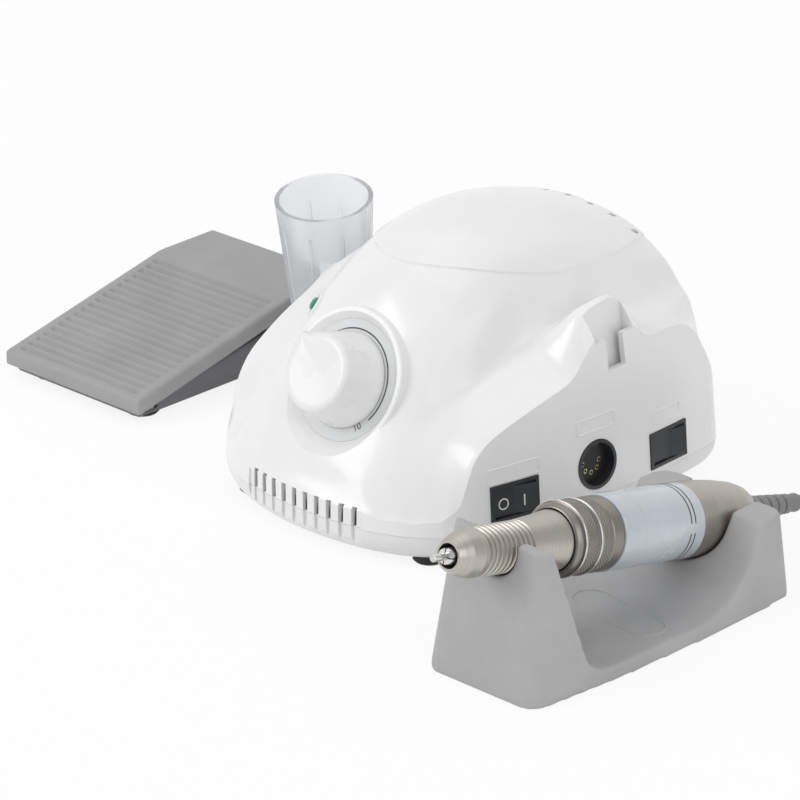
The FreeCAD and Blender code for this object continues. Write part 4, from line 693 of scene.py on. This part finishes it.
# Half an ellipse carried round a stadium on the flat floor of the rest
def makeRestOval():
    p, out = roundedOutline(restOval["halfLength"], restOval["halfHeight"], restOval["halfHeight"] - 0.01)
    turn = np.linspace(0, 2 * math.pi, 13)[:-1]
    offset = restOval["halfWidth"] * np.cos(turn)
    height = restOval["height"] * np.sin(turn)
    x = p[:, None, 0] + out[:, None, 0] * offset
    y = p[:, None, 1] + out[:, None, 1] * offset
    lean = math.radians(restOval["turn"])
    grid = np.stack([restOval["middle"][0] + x * math.cos(lean) - y * math.sin(lean),
                     restOval["middle"][1] + x * math.sin(lean) + y * math.cos(lean),
                     restOval["floor"] + np.broadcast_to(height, x.shape)], -1)
    gridPiece("restOvalBead", inFrame(grid), restAbs, "control_box", wrapRows=True,
              wrapColumns=True)


makeRestOval()
print("rest and pedal rounded")


# Pale floor and backdrop in one sweep, in metres; white to the camera by its share, the rest keeps the shadow
paper = {"size": 3.2, "back": 0.81, "bend": 1.2, "height": 4.0, "whiteShare": 0.86}


def makeStage():
    size, back, bend = paper["size"], paper["back"], paper["bend"]
    floorLine = np.stack([np.zeros(24), np.linspace(-size, back, 24), np.zeros(24)], 1)
    angle = np.linspace(0, math.pi / 2, 24)
    curve = np.stack([np.zeros(24), back + bend * np.sin(angle), bend - bend * np.cos(angle)], 1)
    line = np.concatenate([floorLine, curve[1:], [[0, back + bend, paper["height"]]]])
    x = np.array([-size, size])
    points = np.repeat(line[None], 2, 0)
    points[:, :, 0] = x[:, None]
    turn = math.radians(camera["azimuth"])
    spin = np.array([[math.cos(turn), -math.sin(turn), 0], [math.sin(turn), math.cos(turn), 0], [0, 0, 1]])
    points = points.reshape(-1, 3) @ spin.T
    n = len(line)
    faces = [(i, n + i, n + i + 1, i + 1) for i in range(n - 1)]
    mesh = bpy.data.meshes.new("paleSweep")
    mesh.from_pydata(points.tolist(), [], faces)
    mesh.shade_smooth()
    sweep = bpy.data.objects.new("paleSweep", mesh)
    bpy.context.scene.collection.objects.link(sweep)
    material, tree = newMaterial("palePaper")
    diffuse = addNode(tree, "ShaderNodeBsdfDiffuse", {"Color": hexColour("#FAFAFA"), "Roughness": 0.8})
    glow = addNode(tree, "ShaderNodeEmission", {"Color": hexColour("#FFFFFF"), "Strength": 1.0})
    path = addNode(tree, "ShaderNodeLightPath")
    seen = addNode(tree, "ShaderNodeMath", {"operation": "MAXIMUM"},
                   {0: path.outputs["Is Camera Ray"], 1: path.outputs["Is Glossy Ray"]})
    seen = addNode(tree, "ShaderNodeMath", {"operation": "MAXIMUM"},
                   {0: seen.outputs[0], 1: path.outputs["Is Transmission Ray"]})
    part = addNode(tree, "ShaderNodeMath", {"operation": "MULTIPLY"}, {0: seen.outputs[0]})
    part.inputs[1].default_value = paper["whiteShare"]
    mix = addNode(tree, "ShaderNodeMixShader",
                  links={"Fac": part.outputs[0], 1: diffuse.outputs[0], 2: glow.outputs[0]})
    finishMaterial(tree, mix)
    mesh.materials.append(material)


lamps = {
    "keyLeft": {"at": (-0.75, -1.35, 1.05), "power": 11.0, "size": 1.0},
    "fillRight": {"at": (1.5, -0.3, 0.8), "power": 5.2, "size": 1.2},
    "topSoft": {"at": (-0.1, 0.3, 1.7), "power": 3.5, "size": 1.4},
}
roomLight = 0.59


def makeLamps():
    for name, lamp in lamps.items():
        data = bpy.data.lights.new(name, "AREA")
        data.energy, data.size, data.shape = lamp["power"], lamp["size"], "SQUARE"
        source = bpy.data.objects.new(name, data)
        bpy.context.scene.collection.objects.link(source)
        source.location = lamp["at"]
        source.rotation_euler = (Vector(lamp["at"]) - Vector((0, 0, 0.03))).to_track_quat("Z", "Y").to_euler()
    world = bpy.data.worlds.new("softRoom")
    bpy.context.scene.world = world
    world.use_nodes = True
    world.node_tree.nodes["Background"].inputs["Color"].default_value = hexColour("#FFFFFF")
    world.node_tree.nodes["Background"].inputs["Strength"].default_value = roomLight


makeStage()
makeLamps()
bpy.context.scene.view_settings.view_transform = "Standard"
print("stage and lamps set")
